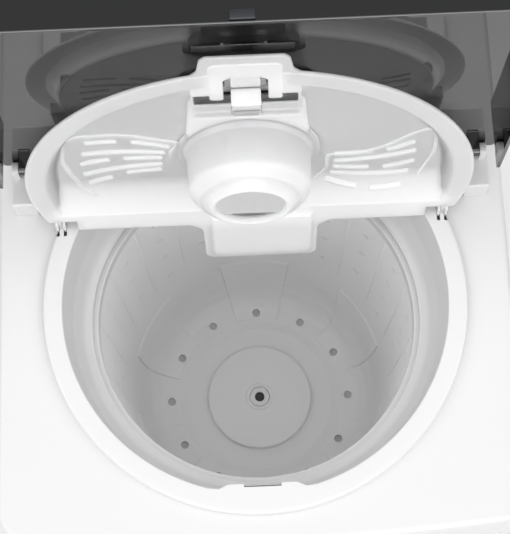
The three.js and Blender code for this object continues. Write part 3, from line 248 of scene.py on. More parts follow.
@dataclass(frozen=True)
class Footprint:
    """The machine from above: bowed front, round corners, straight sides and rear."""

    half: float = 195.0
    rear: float = 196.0
    front: float = -181.0
    bow: float = 8.5
    bow_steps: int = 20
    corner: float = 22.0

    def outline(self, inset: float = 0.0, steps: int = 12) -> list[Pair]:
        """Draws the footprint, or a smaller one inside it.

        Args:
            inset: Distance inwards, in millimetres.
            steps: Pieces in each round corner.

        Returns:
            The outline as plain points.
        """
        radius = self.corner - inset
        side = self.half - inset - radius
        front = self.front + inset + self.bow
        rear = self.rear - inset - radius
        points: list[Pair] = []
        for k in range(self.bow_steps + 1):
            t = k / self.bow_steps
            points.append((-side + t * 2 * side, front - 4 * t * (1 - t) * self.bow))
        arcs = ((side, front + radius, -90.0), (side, rear, 0.0),
                (-side, rear, 90.0), (-side, front + radius, 180.0))
        for x, y, start in arcs:
            # The ends of the bow are also the first corner's start and the last one's end.
            first = 1 if start == -90.0 else 0
            last = steps - 1 if start == 180.0 else steps
            for k in range(first, last + 1):
                across, along = polar(radius, start + 90.0 * k / steps)
                points.append((x + across, y + along))
        return points


FOOTPRINT = Footprint()


# ---- Solids -------------------------------------------------------------------------------------


def cleaned(shape: Shape) -> Shape:
    """Merges doubled points and turns the faces outwards."""
    bmesh.ops.remove_doubles(shape, verts=shape.verts[:], dist=MERGE_DISTANCE)
    bmesh.ops.recalc_face_normals(shape, faces=shape.faces[:])
    return shape


def moved(shape: Shape, place: Matrix) -> Shape:
    """Moves a shape and returns it."""
    bmesh.ops.transform(shape, verts=shape.verts[:], matrix=place)
    return shape


def turned(shape: Shape, angle: float) -> Shape:
    """Turns a shape about the upright axis by an angle in degrees, and returns it."""
    return moved(shape, Matrix.Rotation(math.radians(angle), 4, "Z"))


def rounded(shape: Shape, edges: Sequence[bmesh.types.BMEdge], size: float, segments: int) -> Shape:
    """Rounds edges of a shape.

    Args:
        shape: The shape.
        edges: Those of its edges that are rounded.
        size: Width of the rounding in millimetres, or 0 for none.
        segments: Pieces in the rounding.

    Returns:
        The same shape.
    """
    if size > 0.0:
        bmesh.ops.bevel(
            shape, geom=edges, offset=size, offset_type="OFFSET", affect="EDGES",
            segments=segments, profile=0.5, material=-1, clamp_overlap=True,
        )
    return shape


def spun(profile: Sequence[Pair], steps: int = 144, centre: Pair = (0.0, 0.0)) -> Shape:
    """Spins a profile of (radius, height) points a full turn about an upright axis.

    Args:
        profile: A loop whose ends meet, or a line whose ends lie on the axis.
        steps: Pieces round the turn.
        centre: The axis's place in X and Y.

    Returns:
        The closed shape.
    """
    shape = bmesh.new()
    verts = [shape.verts.new((centre[0] + r, centre[1], z)) for r, z in profile]
    edges = [shape.edges.new(pair) for pair in zip(verts, verts[1:])]
    bmesh.ops.spin(
        shape, geom=[*verts, *edges], cent=(*centre, 0.0), axis=(0.0, 0.0, 1.0),
        dvec=(0.0, 0.0, 0.0), angle=2 * math.pi, steps=steps, use_merge=True,
    )
    return cleaned(shape)


def prism(
    outline: Sequence[Pair], low: float, high: float, plane: Plane = Plane.XY,
    bevel: float = 0.0, segments: int = 3, ends: Ends = Ends.BOTH,
) -> Shape:
    """Raises an outline into a solid and rounds the edges at its ends.

    Args:
        outline: Points of the outline, in millimetres.
        low: Start along the third axis.
        high: End along the third axis.
        plane: The outline's plane.
        bevel: Rounding of the end edges, or 0 for none.
        segments: Pieces in the rounding.
        ends: Which ends are rounded.

    Returns:
        The closed shape.
    """
    shape = bmesh.new()
    face = shape.faces.new([shape.verts.new(plane.point(u, v, low)) for u, v in outline])
    raised = bmesh.ops.extrude_face_region(shape, geom=[face])["geom"]
    top = [item for item in raised if isinstance(item, bmesh.types.BMVert)]
    bmesh.ops.translate(shape, verts=top, vec=plane.point(0.0, 0.0, high - low))
    cleaned(shape)
    levels = [(low, high)[end] for end in ends.value]
    rims = [
        edge for edge in shape.edges
        if any(all(abs(vert.co[plane.value] - level) < MERGE_DISTANCE for vert in edge.verts)
               for level in levels)
    ]
    return rounded(shape, rims, bevel, segments)


def slab(low: Triple, high: Triple, bevel: float = 0.0, segments: int = 2) -> Shape:
    """A block between two corners, with every edge rounded.

    Args:
        low: The lowest corner, in millimetres.
        high: The highest corner.
        bevel: Rounding of the edges, or 0 for none.
        segments: Pieces in the rounding.

    Returns:
        The closed shape.
    """
    shape = bmesh.new()
    size = Vector(high) - Vector(low)
    middle = (Vector(high) + Vector(low)) / 2.0
    place = Matrix.Translation(middle) @ Matrix.Diagonal((*size, 1.0))
    bmesh.ops.create_cube(shape, size=1.0, matrix=place)
    return rounded(shape, shape.edges[:], bevel, segments)


def rod(radius: float, start: Triple, end: Triple, steps: int = 32) -> Shape:
    """A round bar between two points.

    Args:
        radius: Its radius, in millimetres.
        start: The middle of one end.
        end: The middle of the other end.
        steps: Pieces round it.

    Returns:
        The closed shape.
    """
    shape = bmesh.new()
    line = Vector(end) - Vector(start)
    turn = line.to_track_quat("Z", "Y").to_matrix().to_4x4()
    place = Matrix.Translation((Vector(start) + Vector(end)) / 2.0) @ turn
    bmesh.ops.create_cone(
        shape, cap_ends=True, segments=steps, radius1=radius, radius2=radius,
        depth=line.length, matrix=place,
    )
    return shape


def louvre(
    start: Pair, end: Pair, width: float, height: float, bow: float, level: float,
) -> Shape:
    """One long round-ended louvre that stands on a panel.

    Args:
        start: One end in the panel's plane, in millimetres.
        end: The other end.
        width: Its width.
        height: How far it stands out on either side of the level.
        bow: How far its middle bends sideways.
        level: The panel's face along the third axis.

    Returns:
        The closed shape.
    """
    shape = bmesh.new()
    bmesh.ops.create_uvsphere(shape, u_segments=20, v_segments=10, radius=0.5)
    moved(shape, Matrix.Rotation(math.pi / 2, 4, "Y"))
    run = (Vector(end) - Vector(start)).length
    straight = run - width
    bmesh.ops.scale(shape, verts=shape.verts[:], vec=(width, width, 2.0 * height))
    # The ball's two halves are pulled apart, and the long edges between them are divided.
    far = [vert for vert in shape.verts if vert.co.x > 1e-5]
    near = [vert for vert in shape.verts if vert.co.x < -1e-5]
    bmesh.ops.translate(shape, verts=far, vec=(straight / 2, 0, 0))
    bmesh.ops.translate(shape, verts=near, vec=(-straight / 2, 0, 0))
    long_edges = [edge for edge in shape.edges
                  if abs(edge.verts[0].co.x - edge.verts[1].co.x) > straight * 0.4]
    bmesh.ops.subdivide_edges(shape, edges=long_edges, cuts=6, use_grid_fill=True)
    for vert in shape.verts:
        t = 2.0 * vert.co.x / run
        vert.co.y += bow * (1.0 - t * t)
    angle = math.atan2(end[1] - start[1], end[0] - start[0])
    middle = Matrix.Translation(((start[0] + end[0]) / 2, (start[1] + end[1]) / 2, level))
    return cleaned(moved(shape, middle @ Matrix.Rotation(angle, 4, "Z")))


def meshed(shape: Shape, name: str) -> bpy.types.Mesh:
    """Turns a shape into a mesh and frees the shape."""
    mesh = bpy.data.meshes.new(name)
    shape.to_mesh(mesh)
    shape.free()
    return mesh


def linked(name: str, data: bpy.types.ID) -> bpy.types.Object:
    """Makes an object of a mesh, lamp, camera or curve, and puts it in the scene."""
    item = bpy.data.objects.new(name, data)
    bpy.context.scene.collection.objects.link(item)
    return item


def joined(shapes: Iterable[Shape]) -> Shape:
    """Puts several shapes into one, without merging them."""
    whole = bmesh.new()
    for shape in shapes:
        mesh = meshed(shape, "part")
        whole.from_mesh(mesh)
        bpy.data.meshes.remove(mesh)
    return whole


def cut(*shapes: Shape) -> list[Step]:
    """Steps that take shapes away."""
    return [(Combine.CUT, shape) for shape in shapes]


def add(*shapes: Shape) -> list[Step]:
    """Steps that merge shapes in."""
    return [(Combine.ADD, shape) for shape in shapes]


def keep(*shapes: Shape) -> list[Step]:
    """Steps that leave only what lies inside shapes."""
    return [(Combine.KEEP, shape) for shape in shapes]


def combined(base: Shape, *steps: Step) -> Shape:
    """Cuts and adds shapes, one after another.

    Args:
        base: The closed shape to start from.
        *steps: What is done, and with which closed shape.

    Returns:
        The outcome as a new shape.
    """
    body = linked("helper", meshed(base, "helper"))
    helpers = [body]
    for how, tool in steps:
        helpers.append(linked("helper", meshed(tool, "helper")))
        modifier = body.modifiers.new(how.value, "BOOLEAN")
        modifier.operation = how.value
        modifier.solver = "MANIFOLD"
        modifier.object = helpers[-1]
    graph = bpy.context.evaluated_depsgraph_get()
    outcome = bmesh.new()
    outcome.from_mesh(body.evaluated_get(graph).data)
    for item in helpers:
        mesh = item.data
        bpy.data.objects.remove(item)
        bpy.data.meshes.remove(mesh)
    bmesh.ops.remove_doubles(outcome, verts=outcome.verts[:], dist=MERGE_DISTANCE)
    return outcome


def without_specks(shape: Shape, least: int = 6) -> Shape:
    """Deletes the specks of a few faces that a Boolean can leave in a corner.

    Args:
        shape: The closed shape, which may hold several islands.
        least: Islands of fewer faces than this are specks. A plain box has six.

    Returns:
        The same shape without its specks.
    """
    seen: set[bmesh.types.BMFace] = set()
    specks: list[bmesh.types.BMFace] = []
    for first in shape.faces:
        if first in seen:
            continue
        seen.add(first)
        island = [first]
        for face in island:
            for edge in face.edges:
                fresh = [other for other in edge.link_faces if other not in seen]
                seen.update(fresh)
                island.extend(fresh)
        if len(island) < least:
            specks.extend(island)
    bmesh.ops.delete(shape, geom=specks, context="FACES")
    return shape


# ---- Finishes -----------------------------------------------------------------------------------


def linear(hex_code: str) -> Colour:
    """Turns an sRGB hex code into linear red, green, blue and alpha."""
    values = [int(hex_code[i:i + 2], 16) / 255.0 for i in (1, 3, 5)]
    return (*[v / 12.92 if v <= 0.04045 else ((v + 0.055) / 1.055) ** 2.4 for v in values], 1.0)


def blank(name: str) -> tuple[bpy.types.Material, bpy.types.NodeTree, bpy.types.Node]:
    """Starts a node material and returns it with its tree and its main shader."""
    material = bpy.data.materials.new(name)
    material.use_nodes = True
    tree = material.node_tree
    return material, tree, tree.nodes["Principled BSDF"]


def node(tree: bpy.types.NodeTree, kind: str, settings: dict[str, Any] | None = None,
         **links: Socket) -> bpy.types.Node:
    """Adds a shader node with its settings and links.

    Args:
        tree: The material's node tree.
        kind: The node's type name.
        settings: Properties of the node; a key with a leading "=" sets an input's value.
        **links: Input names, with underscores for spaces, and the output socket that feeds each.

    Returns:
        The new node.
    """
    item = tree.nodes.new(kind)
    for key, value in (settings or {}).items():
        if key.startswith("="):
            item.inputs[key[1:]].default_value = value
        else:
            setattr(item, key, value)
    for key, socket in links.items():
        tree.links.new(socket, item.inputs[key.replace("_", " ")])
    return item


def two_tone(tree: bpy.types.NodeTree, share: Socket, first: Colour, second: Colour) -> Socket:
    """Mixes two colours.

    Args:
        tree: The material's node tree.
        share: The socket that says how much of the second colour shows.
        first: The first colour, linear.
        second: The second colour, linear.

    Returns:
        The socket with the mixed colour.
    """
    mix = node(tree, "ShaderNodeMix", {"data_type": "RGBA"})
    mix.inputs[6].default_value = first
    mix.inputs[7].default_value = second
    tree.links.new(share, mix.inputs[0])
    return mix.outputs[2]


def relief(tree: bpy.types.NodeTree, strength: float, height_mm: float, **links: Socket) -> Socket:
    """Adds a bump of a real height.

    Args:
        tree: The material's node tree.
        strength: How strongly it shows, up to 1.
        height_mm: Its height, in millimetres.
        **links: The sockets for its Height, and for its Normal where another bump lies below.

    Returns:
        The socket with the bent normal.
    """
    settings = {"=Strength": strength, "=Distance": height_mm * MM}
    return node(tree, "ShaderNodeBump", settings, **links).outputs["Normal"]


@dataclass(frozen=True)
class Moulded:
    """An injection-moulded plastic: a tinted skin with a soft gloss and a faint flow unevenness.

    Tone and gloss drift over wide clouds, the flow wave bends reflections a little, and the grain
    is the mould's own texture. Sizes are real millimetres.
    """

    name: str
    colour: str
    tint: str
    roughness: float
    ior: float = 1.5
    cloud_mm: float = 90.0
    wave_mm: float = 60.0
    wave_height_mm: float = 0.01
    grain_mm: float = 0.0
    grain_height_mm: float = 0.0
    subsurface: float = 0.0
    # How far light spreads inside, as red, green and blue in metres.
    subsurface_radius: Triple = (0.018, 0.018, 0.0175)
    gloss_drift: Pair = (0.92, 1.1)
    wave_strength: float = 0.6
    grain_strength: float = 0.7

    def make(self) -> bpy.types.Material:
        """Builds the material."""
        material, tree, shader = blank(self.name)
        shader.inputs["IOR"].default_value = self.ior
        where = node(tree, "ShaderNodeTexCoord").outputs["Object"]
        cloud = node(tree, "ShaderNodeTexNoise", {
            "=Scale": 1000.0 / self.cloud_mm, "=Detail": 3.0,
        }, Vector=where).outputs["Fac"]
        tone = two_tone(tree, cloud, linear(self.colour), linear(self.tint))
        tree.links.new(tone, shader.inputs["Base Color"])
        smoothest, roughest = (self.roughness * share for share in self.gloss_drift)
        gloss = node(tree, "ShaderNodeMapRange", {
            "=From Min": 0.3, "=From Max": 0.7, "=To Min": smoothest, "=To Max": roughest,
        }, Value=cloud)
        tree.links.new(gloss.outputs["Result"], shader.inputs["Roughness"])
        flow = node(tree, "ShaderNodeTexNoise", {
            "=Scale": 1000.0 / self.wave_mm, "=Detail": 1.0,
        }, Vector=where)
        normal = relief(tree, self.wave_strength, self.wave_height_mm,
                        Height=flow.outputs["Fac"])
        if self.grain_mm > 0.0:
            grain = node(tree, "ShaderNodeTexVoronoi", {"=Scale": 1000.0 / self.grain_mm},
                         Vector=where)
            normal = relief(tree, self.grain_strength, self.grain_height_mm,
                            Height=grain.outputs["Distance"], Normal=normal)
        tree.links.new(normal, shader.inputs["Normal"])
        if self.subsurface > 0.0:
            shader.inputs["Subsurface Weight"].default_value = self.subsurface
            shader.inputs["Subsurface Radius"].default_value = self.subsurface_radius
            shader.inputs["Subsurface Scale"].default_value = 1.0
        return material


@dataclass(frozen=True)
class Metal:
    """A plated or cast metal: a coloured reflection, brushed lines or a cast skin."""

    name: str
    colour: str
    roughness: float
    metallic: float = 1.0
    grain_mm: float = 0.8
    stretch: float = 1.0
    height_mm: float = 0.01
    darkest: float = 0.82
    gloss_drift: Pair = (0.8, 1.25)
    grain_strength: float = 0.5

    def make(self) -> bpy.types.Material:
        """Builds the material."""
        material, tree, shader = blank(self.name)
        shader.inputs["Metallic"].default_value = self.metallic
        where = node(tree, "ShaderNodeTexCoord").outputs["Object"]
        mapped = node(tree, "ShaderNodeMapping", {"=Scale": (1.0, 1.0, self.stretch)},
                      Vector=where)
        grain = node(tree, "ShaderNodeTexNoise", {
            "=Scale": 1000.0 / self.grain_mm, "=Detail": 4.0,
        }, Vector=mapped.outputs["Vector"]).outputs["Fac"]
        base = linear(self.colour)
        tone = two_tone(tree, grain, base, (*[c * self.darkest for c in base[:3]], 1.0))
        tree.links.new(tone, shader.inputs["Base Color"])
        smoothest, roughest = (min(1.0, self.roughness * share) for share in self.gloss_drift)
        gloss = node(tree, "ShaderNodeMapRange", {"=To Min": smoothest, "=To Max": roughest},
                     Value=grain)
        tree.links.new(gloss.outputs["Result"], shader.inputs["Roughness"])
        normal = relief(tree, self.grain_strength, self.height_mm, Height=grain)
        tree.links.new(normal, shader.inputs["Normal"])
        return material


@dataclass(frozen=True)
class Paper:
    """Matt backdrop paper, plain and pale."""

    name: str
    colour: str
    roughness: float = 0.8

    def make(self) -> bpy.types.Material:
        """Builds the material."""
        material, _, shader = blank(self.name)
        shader.inputs["Roughness"].default_value = self.roughness
        shader.inputs["Base Color"].default_value = linear(self.colour)
        return material


class Finish(Enum):
    """The machine's finishes, each named for the real material."""

    # Acrylonitrile butadiene styrene, polished mould, with soft wide highlights. Its grey-white is
    # painted shade that keeps the brightly lit deck and cabinet below pure white.
    GLOSS_ABS = Moulded("gloss_white_abs", "#DCDCDC", "#DADADA", 0.32, 1.54, wave_height_mm=0.004)
    # Thin polypropylene of the inner lid: milky, so that light shows through its field to the back.
    LID_PP = Moulded("lid_white_polypropylene", "#F5F5F5", "#F3F3F3", 0.3, 1.5, subsurface=0.9)
    # Polypropylene of the basket, moulded: duller than the ABS. Its whiter colour is painted light
    # that brightens the shaded inside of the basket.
    BASKET_PP = Moulded("basket_polypropylene", "#FAFAFA", "#F8F8F8", 0.42, 1.49)
    # Polypropylene with a fine eroded mould texture, for the hidden and lower mouldings.
    TEXTURED_PP = Moulded("textured_polypropylene", "#E4E6E7", "#DFE1E2", 0.5, 1.49,
                          grain_mm=0.9, grain_height_mm=0.03)
    # The same in grey: spark-eroded grain of about 1 mm.
    GREY_PP = Moulded("grey_polypropylene", "#9CA1A4", "#94999C", 0.52, 1.49,
                      grain_mm=1.1, grain_height_mm=0.04)
    # Smoked acrylic with a polished face: nearly black. Its index is above acrylic's own 1.49, so
    # that it mirrors the inner lid as strongly as the photographed lid does.
    SMOKED = Moulded("smoked_acrylic", "#101113", "#0E0F11", 0.02, 1.85, wave_height_mm=0.001)
    # Dark gloss plastic of the hand strip on the lid's lip.
    DARK_GLOSS = Moulded("dark_gloss_styrene", "#2A2D31", "#26292C", 0.18, 1.5)
    # Black moulded plastic of switches and timers.
    BLACK_PP = Moulded("black_polypropylene", "#1B1C1E", "#202123", 0.45, 1.49,
                       grain_mm=0.8, grain_height_mm=0.02)
    # EPDM rubber: matt, dusty grain.
    RUBBER = Moulded("epdm_rubber", "#1E1E1F", "#272728", 0.8, 1.52,
                     grain_mm=0.7, grain_height_mm=0.03)
    # Zinc-plated steel wire, screws and pins, with drawn lines.
    ZINC = Metal("zinc_plated_steel", "#C3C6C8", 0.34, stretch=0.08)
    # Black-oxide steel of the hub's screw, with a dull sheen; its dark colour is also painted shade
    # in the bolt's deep hole.
    BLACK_OXIDE = Metal("black_oxide_steel_hole_shade", "#4A4A4B", 0.5, metallic=0.6)
    # Painted sheet steel of the motor plate and brake: half-matt, slightly uneven.
    PAINTED_STEEL = Metal("painted_sheet_steel", "#7A7F82", 0.5, metallic=0.3, grain_mm=1.5)
    # Cast aluminium end caps and drum: a pebbled skin.
    CAST = Metal("cast_aluminium", "#8E9193", 0.55, grain_mm=2.2, height_mm=0.05)
    # Varnished electrical-steel laminations: brown, with the sheets as fine level lines.
    LAMINATED = Metal("laminated_steel", "#6A5B4C", 0.45, grain_mm=0.6, stretch=12.0)
    # Screen-printed film over the control panel: an even cool grey.
    FASCIA = Moulded("printed_polyester_film", "#A9AFB3", "#A5ABAF", 0.35, 1.6)
    # The print itself, a dark grey ink.
    INK = Moulded("screen_printing_ink", "#3A3E42", "#36393D", 0.45, 1.5)


class Paintbox:
    """Makes each finish once and hands it out."""

    def __init__(self) -> None:
        """Starts with no material made."""
        self._made: dict[Finish, bpy.types.Material] = {}

    def get(self, finish: Finish) -> bpy.types.Material:
        """Returns the material of a finish."""
        if finish not in self._made:
            self._made[finish] = finish.value.make()
        return self._made[finish]


# ---- Sub-assemblies -----------------------------------------------------------------------------


@dataclass
class Assembly(ABC):
    """What every sub-assembly shares: the loaded frame and the paintbox."""

    frame: dict[str, Any]
    paints: Paintbox
    pieces: list[bpy.types.Object] = field(default_factory=list)

    @abstractmethod
    def build(self) -> None:
        """Builds the sub-assembly's mouldings and dresses its CAD parts."""

    def piece(
        self, name: str, shape: Shape, place: Matrix, finish: Finish, body: str, slot: str,
        stands_for: Sequence[str] = (), smooth_angle: float = 32.0,
    ) -> None:
        """Turns a shape into a dressed piece of the model, whose object is at the origin.

        Args:
            name: The piece's name.
            shape: Its closed shape, in millimetres.
            place: The frame it was drawn in.
            finish: Its finish.
            body: The CAD body that it moves with.
            slot: The record's material slot; not used.
            stands_for: CAD nodes that it replaces.
            smooth_angle: Edges flatter than this are shaded smooth, in degrees.
        """
        mesh = meshed(moved(shape, place), name)
        mesh.shade_smooth()
        mesh.set_sharp_from_angle(angle=math.radians(smooth_angle))
        mesh.materials.append(self.paints.get(finish))
        item = linked(name, mesh)
        item.modifiers.new("weighted_normals", "WEIGHTED_NORMAL").keep_sharp = True
        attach(item, body)
        if stands_for:
            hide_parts(*stands_for)
        self.pieces.append(item)
        LOG.info("%s: %d faces", name, len(mesh.polygons))

    def dress(self, finish: Finish, *names: str) -> None:
        """Gives CAD nodes a finish.

        Args:
            finish: The finish.
            *names: The nodes' names.
        """
        for name in names:
            item = self.frame["nodes"][name]
            item.data.materials.clear()
            item.data.materials.append(self.paints.get(finish))


@dataclass
class Casing(Assembly):
    """Cabinet, deck with its ring and well, base, rear cover and the fittings at the rear."""

    wall: float = 3.0
    cabinet_foot: float = 16.0
    cabinet_gap: float = 0.3
    # The cutters of the rear wall start before it and end behind it.
    rear_cut: Pair = (190.0, 202.0)
    rear_opening: tuple[Triple, Triple] = ((-128.0, 190.0, 74.0), (128.0, 198.0, 556.0))
    # Each hole in the rear wall as radius, x, height and pieces round it.
    rear_holes: tuple[tuple[float, float, float, int], ...] = (
        (2.3, -133.0, 69.0, 12), (2.3, -133.0, 561.0, 12),
        (2.3, 133.0, 69.0, 12), (2.3, 133.0, 561.0, 12),
        (14.3, 162.0, 110.0, 40), (8.8, -162.0, 100.0, 40),
    )
    deck_top: float = -7.0
    deck_round: float = 5.0
    skirt_foot: float = -30.0
    ring_inner: float = 145.1
    ring_outer: float = 160.6
    notch_half: float = 25.0
    notch_root: float = 33.0
    notch_reach: float = 137.5
    keeper_half: float = 13.4
    keeper_front: float = -139.6
    ear_offset: float = 2.8

    def build(self) -> None:
        """Builds and dresses the casing."""
        self.cabinet()
        self.deck()
        self.keeper()
        self.clips()
        self.dress(Finish.GREY_PP, "base_pan", "drain_socket", "drain_tube", "motor_capacitor")
        self.dress(Finish.TEXTURED_PP, "rear_cover", "outer_tub")
        self.dress(Finish.ZINC, *[f"rear_cover_screw_{i}" for i in range(1, 5)],
                   *[f"suspension_spring_{i}" for i in range(1, 4)])
        feet = [f"foot_{end}_{hand}" for end in ("front", "rear") for hand in ("left", "right")]
        self.dress(Finish.RUBBER, "power_cord_gland", "tub_seal", *feet)

    def cabinet(self) -> None:
        """Smooth-cornered cabinet with the openings of its rear wall."""
        top = RING_HEIGHT + self.skirt_foot - self.cabinet_gap
        start, end = self.rear_cut
        body = combined(
            prism(FOOTPRINT.outline(), self.cabinet_foot, top),
            *cut(
                prism(FOOTPRINT.outline(self.wall), self.cabinet_foot - 1.0, top + 1.0),
                slab(*self.rear_opening),
                *[rod(r, (x, start, z), (x, end, z), n) for r, x, z, n in self.rear_holes],
            ),
        )
        self.piece("cabinet_shell", body, FLOOR, Finish.GLOSS_ABS, "casing", "casing_white",
                   ["cabinet"], 25.0)

    def ring_profile(self) -> list[Pair]:
        """Section of the ring and the well wall, from the outer foot inwards and back below."""
        inner = self.ring_inner
        outer = self.ring_outer
        face = eased([
            (outer, -9.9, 0), (outer, -0.2, 6.5), (outer - 7.0, 0.0, 6.0),
            (inner + 3.0, 0.0, 1.0), (inner + 0.2, 0.0, 1.8), (inner - 0.6, -14.0, 6.0),
            (inner - 2.6, -40.0, 16.0), (inner - 9.0, -56.0, 12.0), (130.6, -60.0, 2.0),
            (129.3, -60.2, 0.4), (129.3, -62.5, 0.4), (inner - 9.5, -58.0, 10.0),
            (inner - 0.8, -41.0, 12.0), (inner + 1.9, -12.0, 4.0), (inner + 1.9, -9.9, 0),
        ], closed=False)
        return [*face, face[0]]

    def deck(self) -> None:
        """Deck, ring and well wall as one moulding, with the latch notch and the clips' slots."""
        plate = prism(FOOTPRINT.outline(steps=16), self.skirt_foot, self.deck_top,
                      bevel=self.deck_round, segments=6, ends=Ends.HIGH)
        ring = -self.ring_inner
        sweep = eased(mirrored([
            (-self.notch_root - 6.0, -150.0, 0), (-self.notch_root - 6.0, ring + 5.4, 0),
            (-self.notch_root + 1.0, ring + 4.4, 3.0), (-self.notch_half, -self.notch_reach, 5.0),
        ]))
        pad = combined(
            prism(sweep, -10.0, 0.0, bevel=1.2, ends=Ends.HIGH),
            *keep(rod(self.ring_inner + 1.5, (0, 0, -12.0), (0, 0, 2.0), 144)),
        )
        ears = [side * CLIP_REACH + ear * self.ear_offset for side in SIDES for ear in SIDES]
        body = combined(
            plate,
            *cut(prism(FOOTPRINT.outline(4.0), self.skirt_foot - 1.0, self.deck_top - 3.0),
                 rod(self.ring_inner + 2.0, (0, 0, -40.0), (0, 0, 2.0), 144)),
            *add(spun(self.ring_profile(), 180), pad),
            *cut(slab((-self.keeper_half - 0.3, self.keeper_front - 1.0, -11.0),
                      (self.keeper_half + 0.3, -136.0, 1.0)),
                 *[slab((x - 1.3, 55.9, -14.0), (x + 1.3, 62.4, 1.0)) for x in ears]),
        )
        self.piece("deck_moulding", body, WELL, Finish.GLOSS_ABS, "casing", "casing_white",
                   ["top_deck"], 30.0)

    def keeper(self) -> None:
        """Steel bar across the latch notch."""
        rail = slab((-self.keeper_half, self.keeper_front, -9.5),
                    (self.keeper_half, self.keeper_front + 1.0, -2.6), 0.3)
        self.piece("latch_keeper_bar", rail, WELL, Finish.ZINC, "casing", "steel",
                   ["latch_keeper"])

    def clips(self) -> None:
        """The two clips of the inner lid, each with two fingers down into the ring."""
        cheek = eased([(61.4, 0.3, 0), (61.4, 6.0, 2.0), (63.0, 9.4, 3.0), (71.0, 9.4, 3.0),
                       (71.0, 0.3, 0)])
        for side, hand in zip(SIDES, ("left", "right")):
            middle = side * CLIP_REACH
            shapes = [slab((middle - 3.9, 62.0, 0.3), (middle + 3.9, 71.0, 1.2), 0.3)]
            for ear in SIDES:
                x = middle + ear * self.ear_offset
                bore = rod(2.3, (x - 3.0, *INNER_HINGE), (x + 3.0, *INNER_HINGE), 24)
                shapes += [
                    combined(prism(cheek, x - 1.1, x + 1.1, Plane.YZ, 0.3, 2), *cut(bore)),
                    slab((x - 1.0, 60.4, -5.0), (x + 1.0, 62.3, 1.0), 0.3),
                ]
            self.piece(f"lid_clip_{hand}", joined(shapes), WELL, Finish.GLOSS_ABS, "casing",
                       "casing_white", [f"inner_lid_clip_{hand}"])


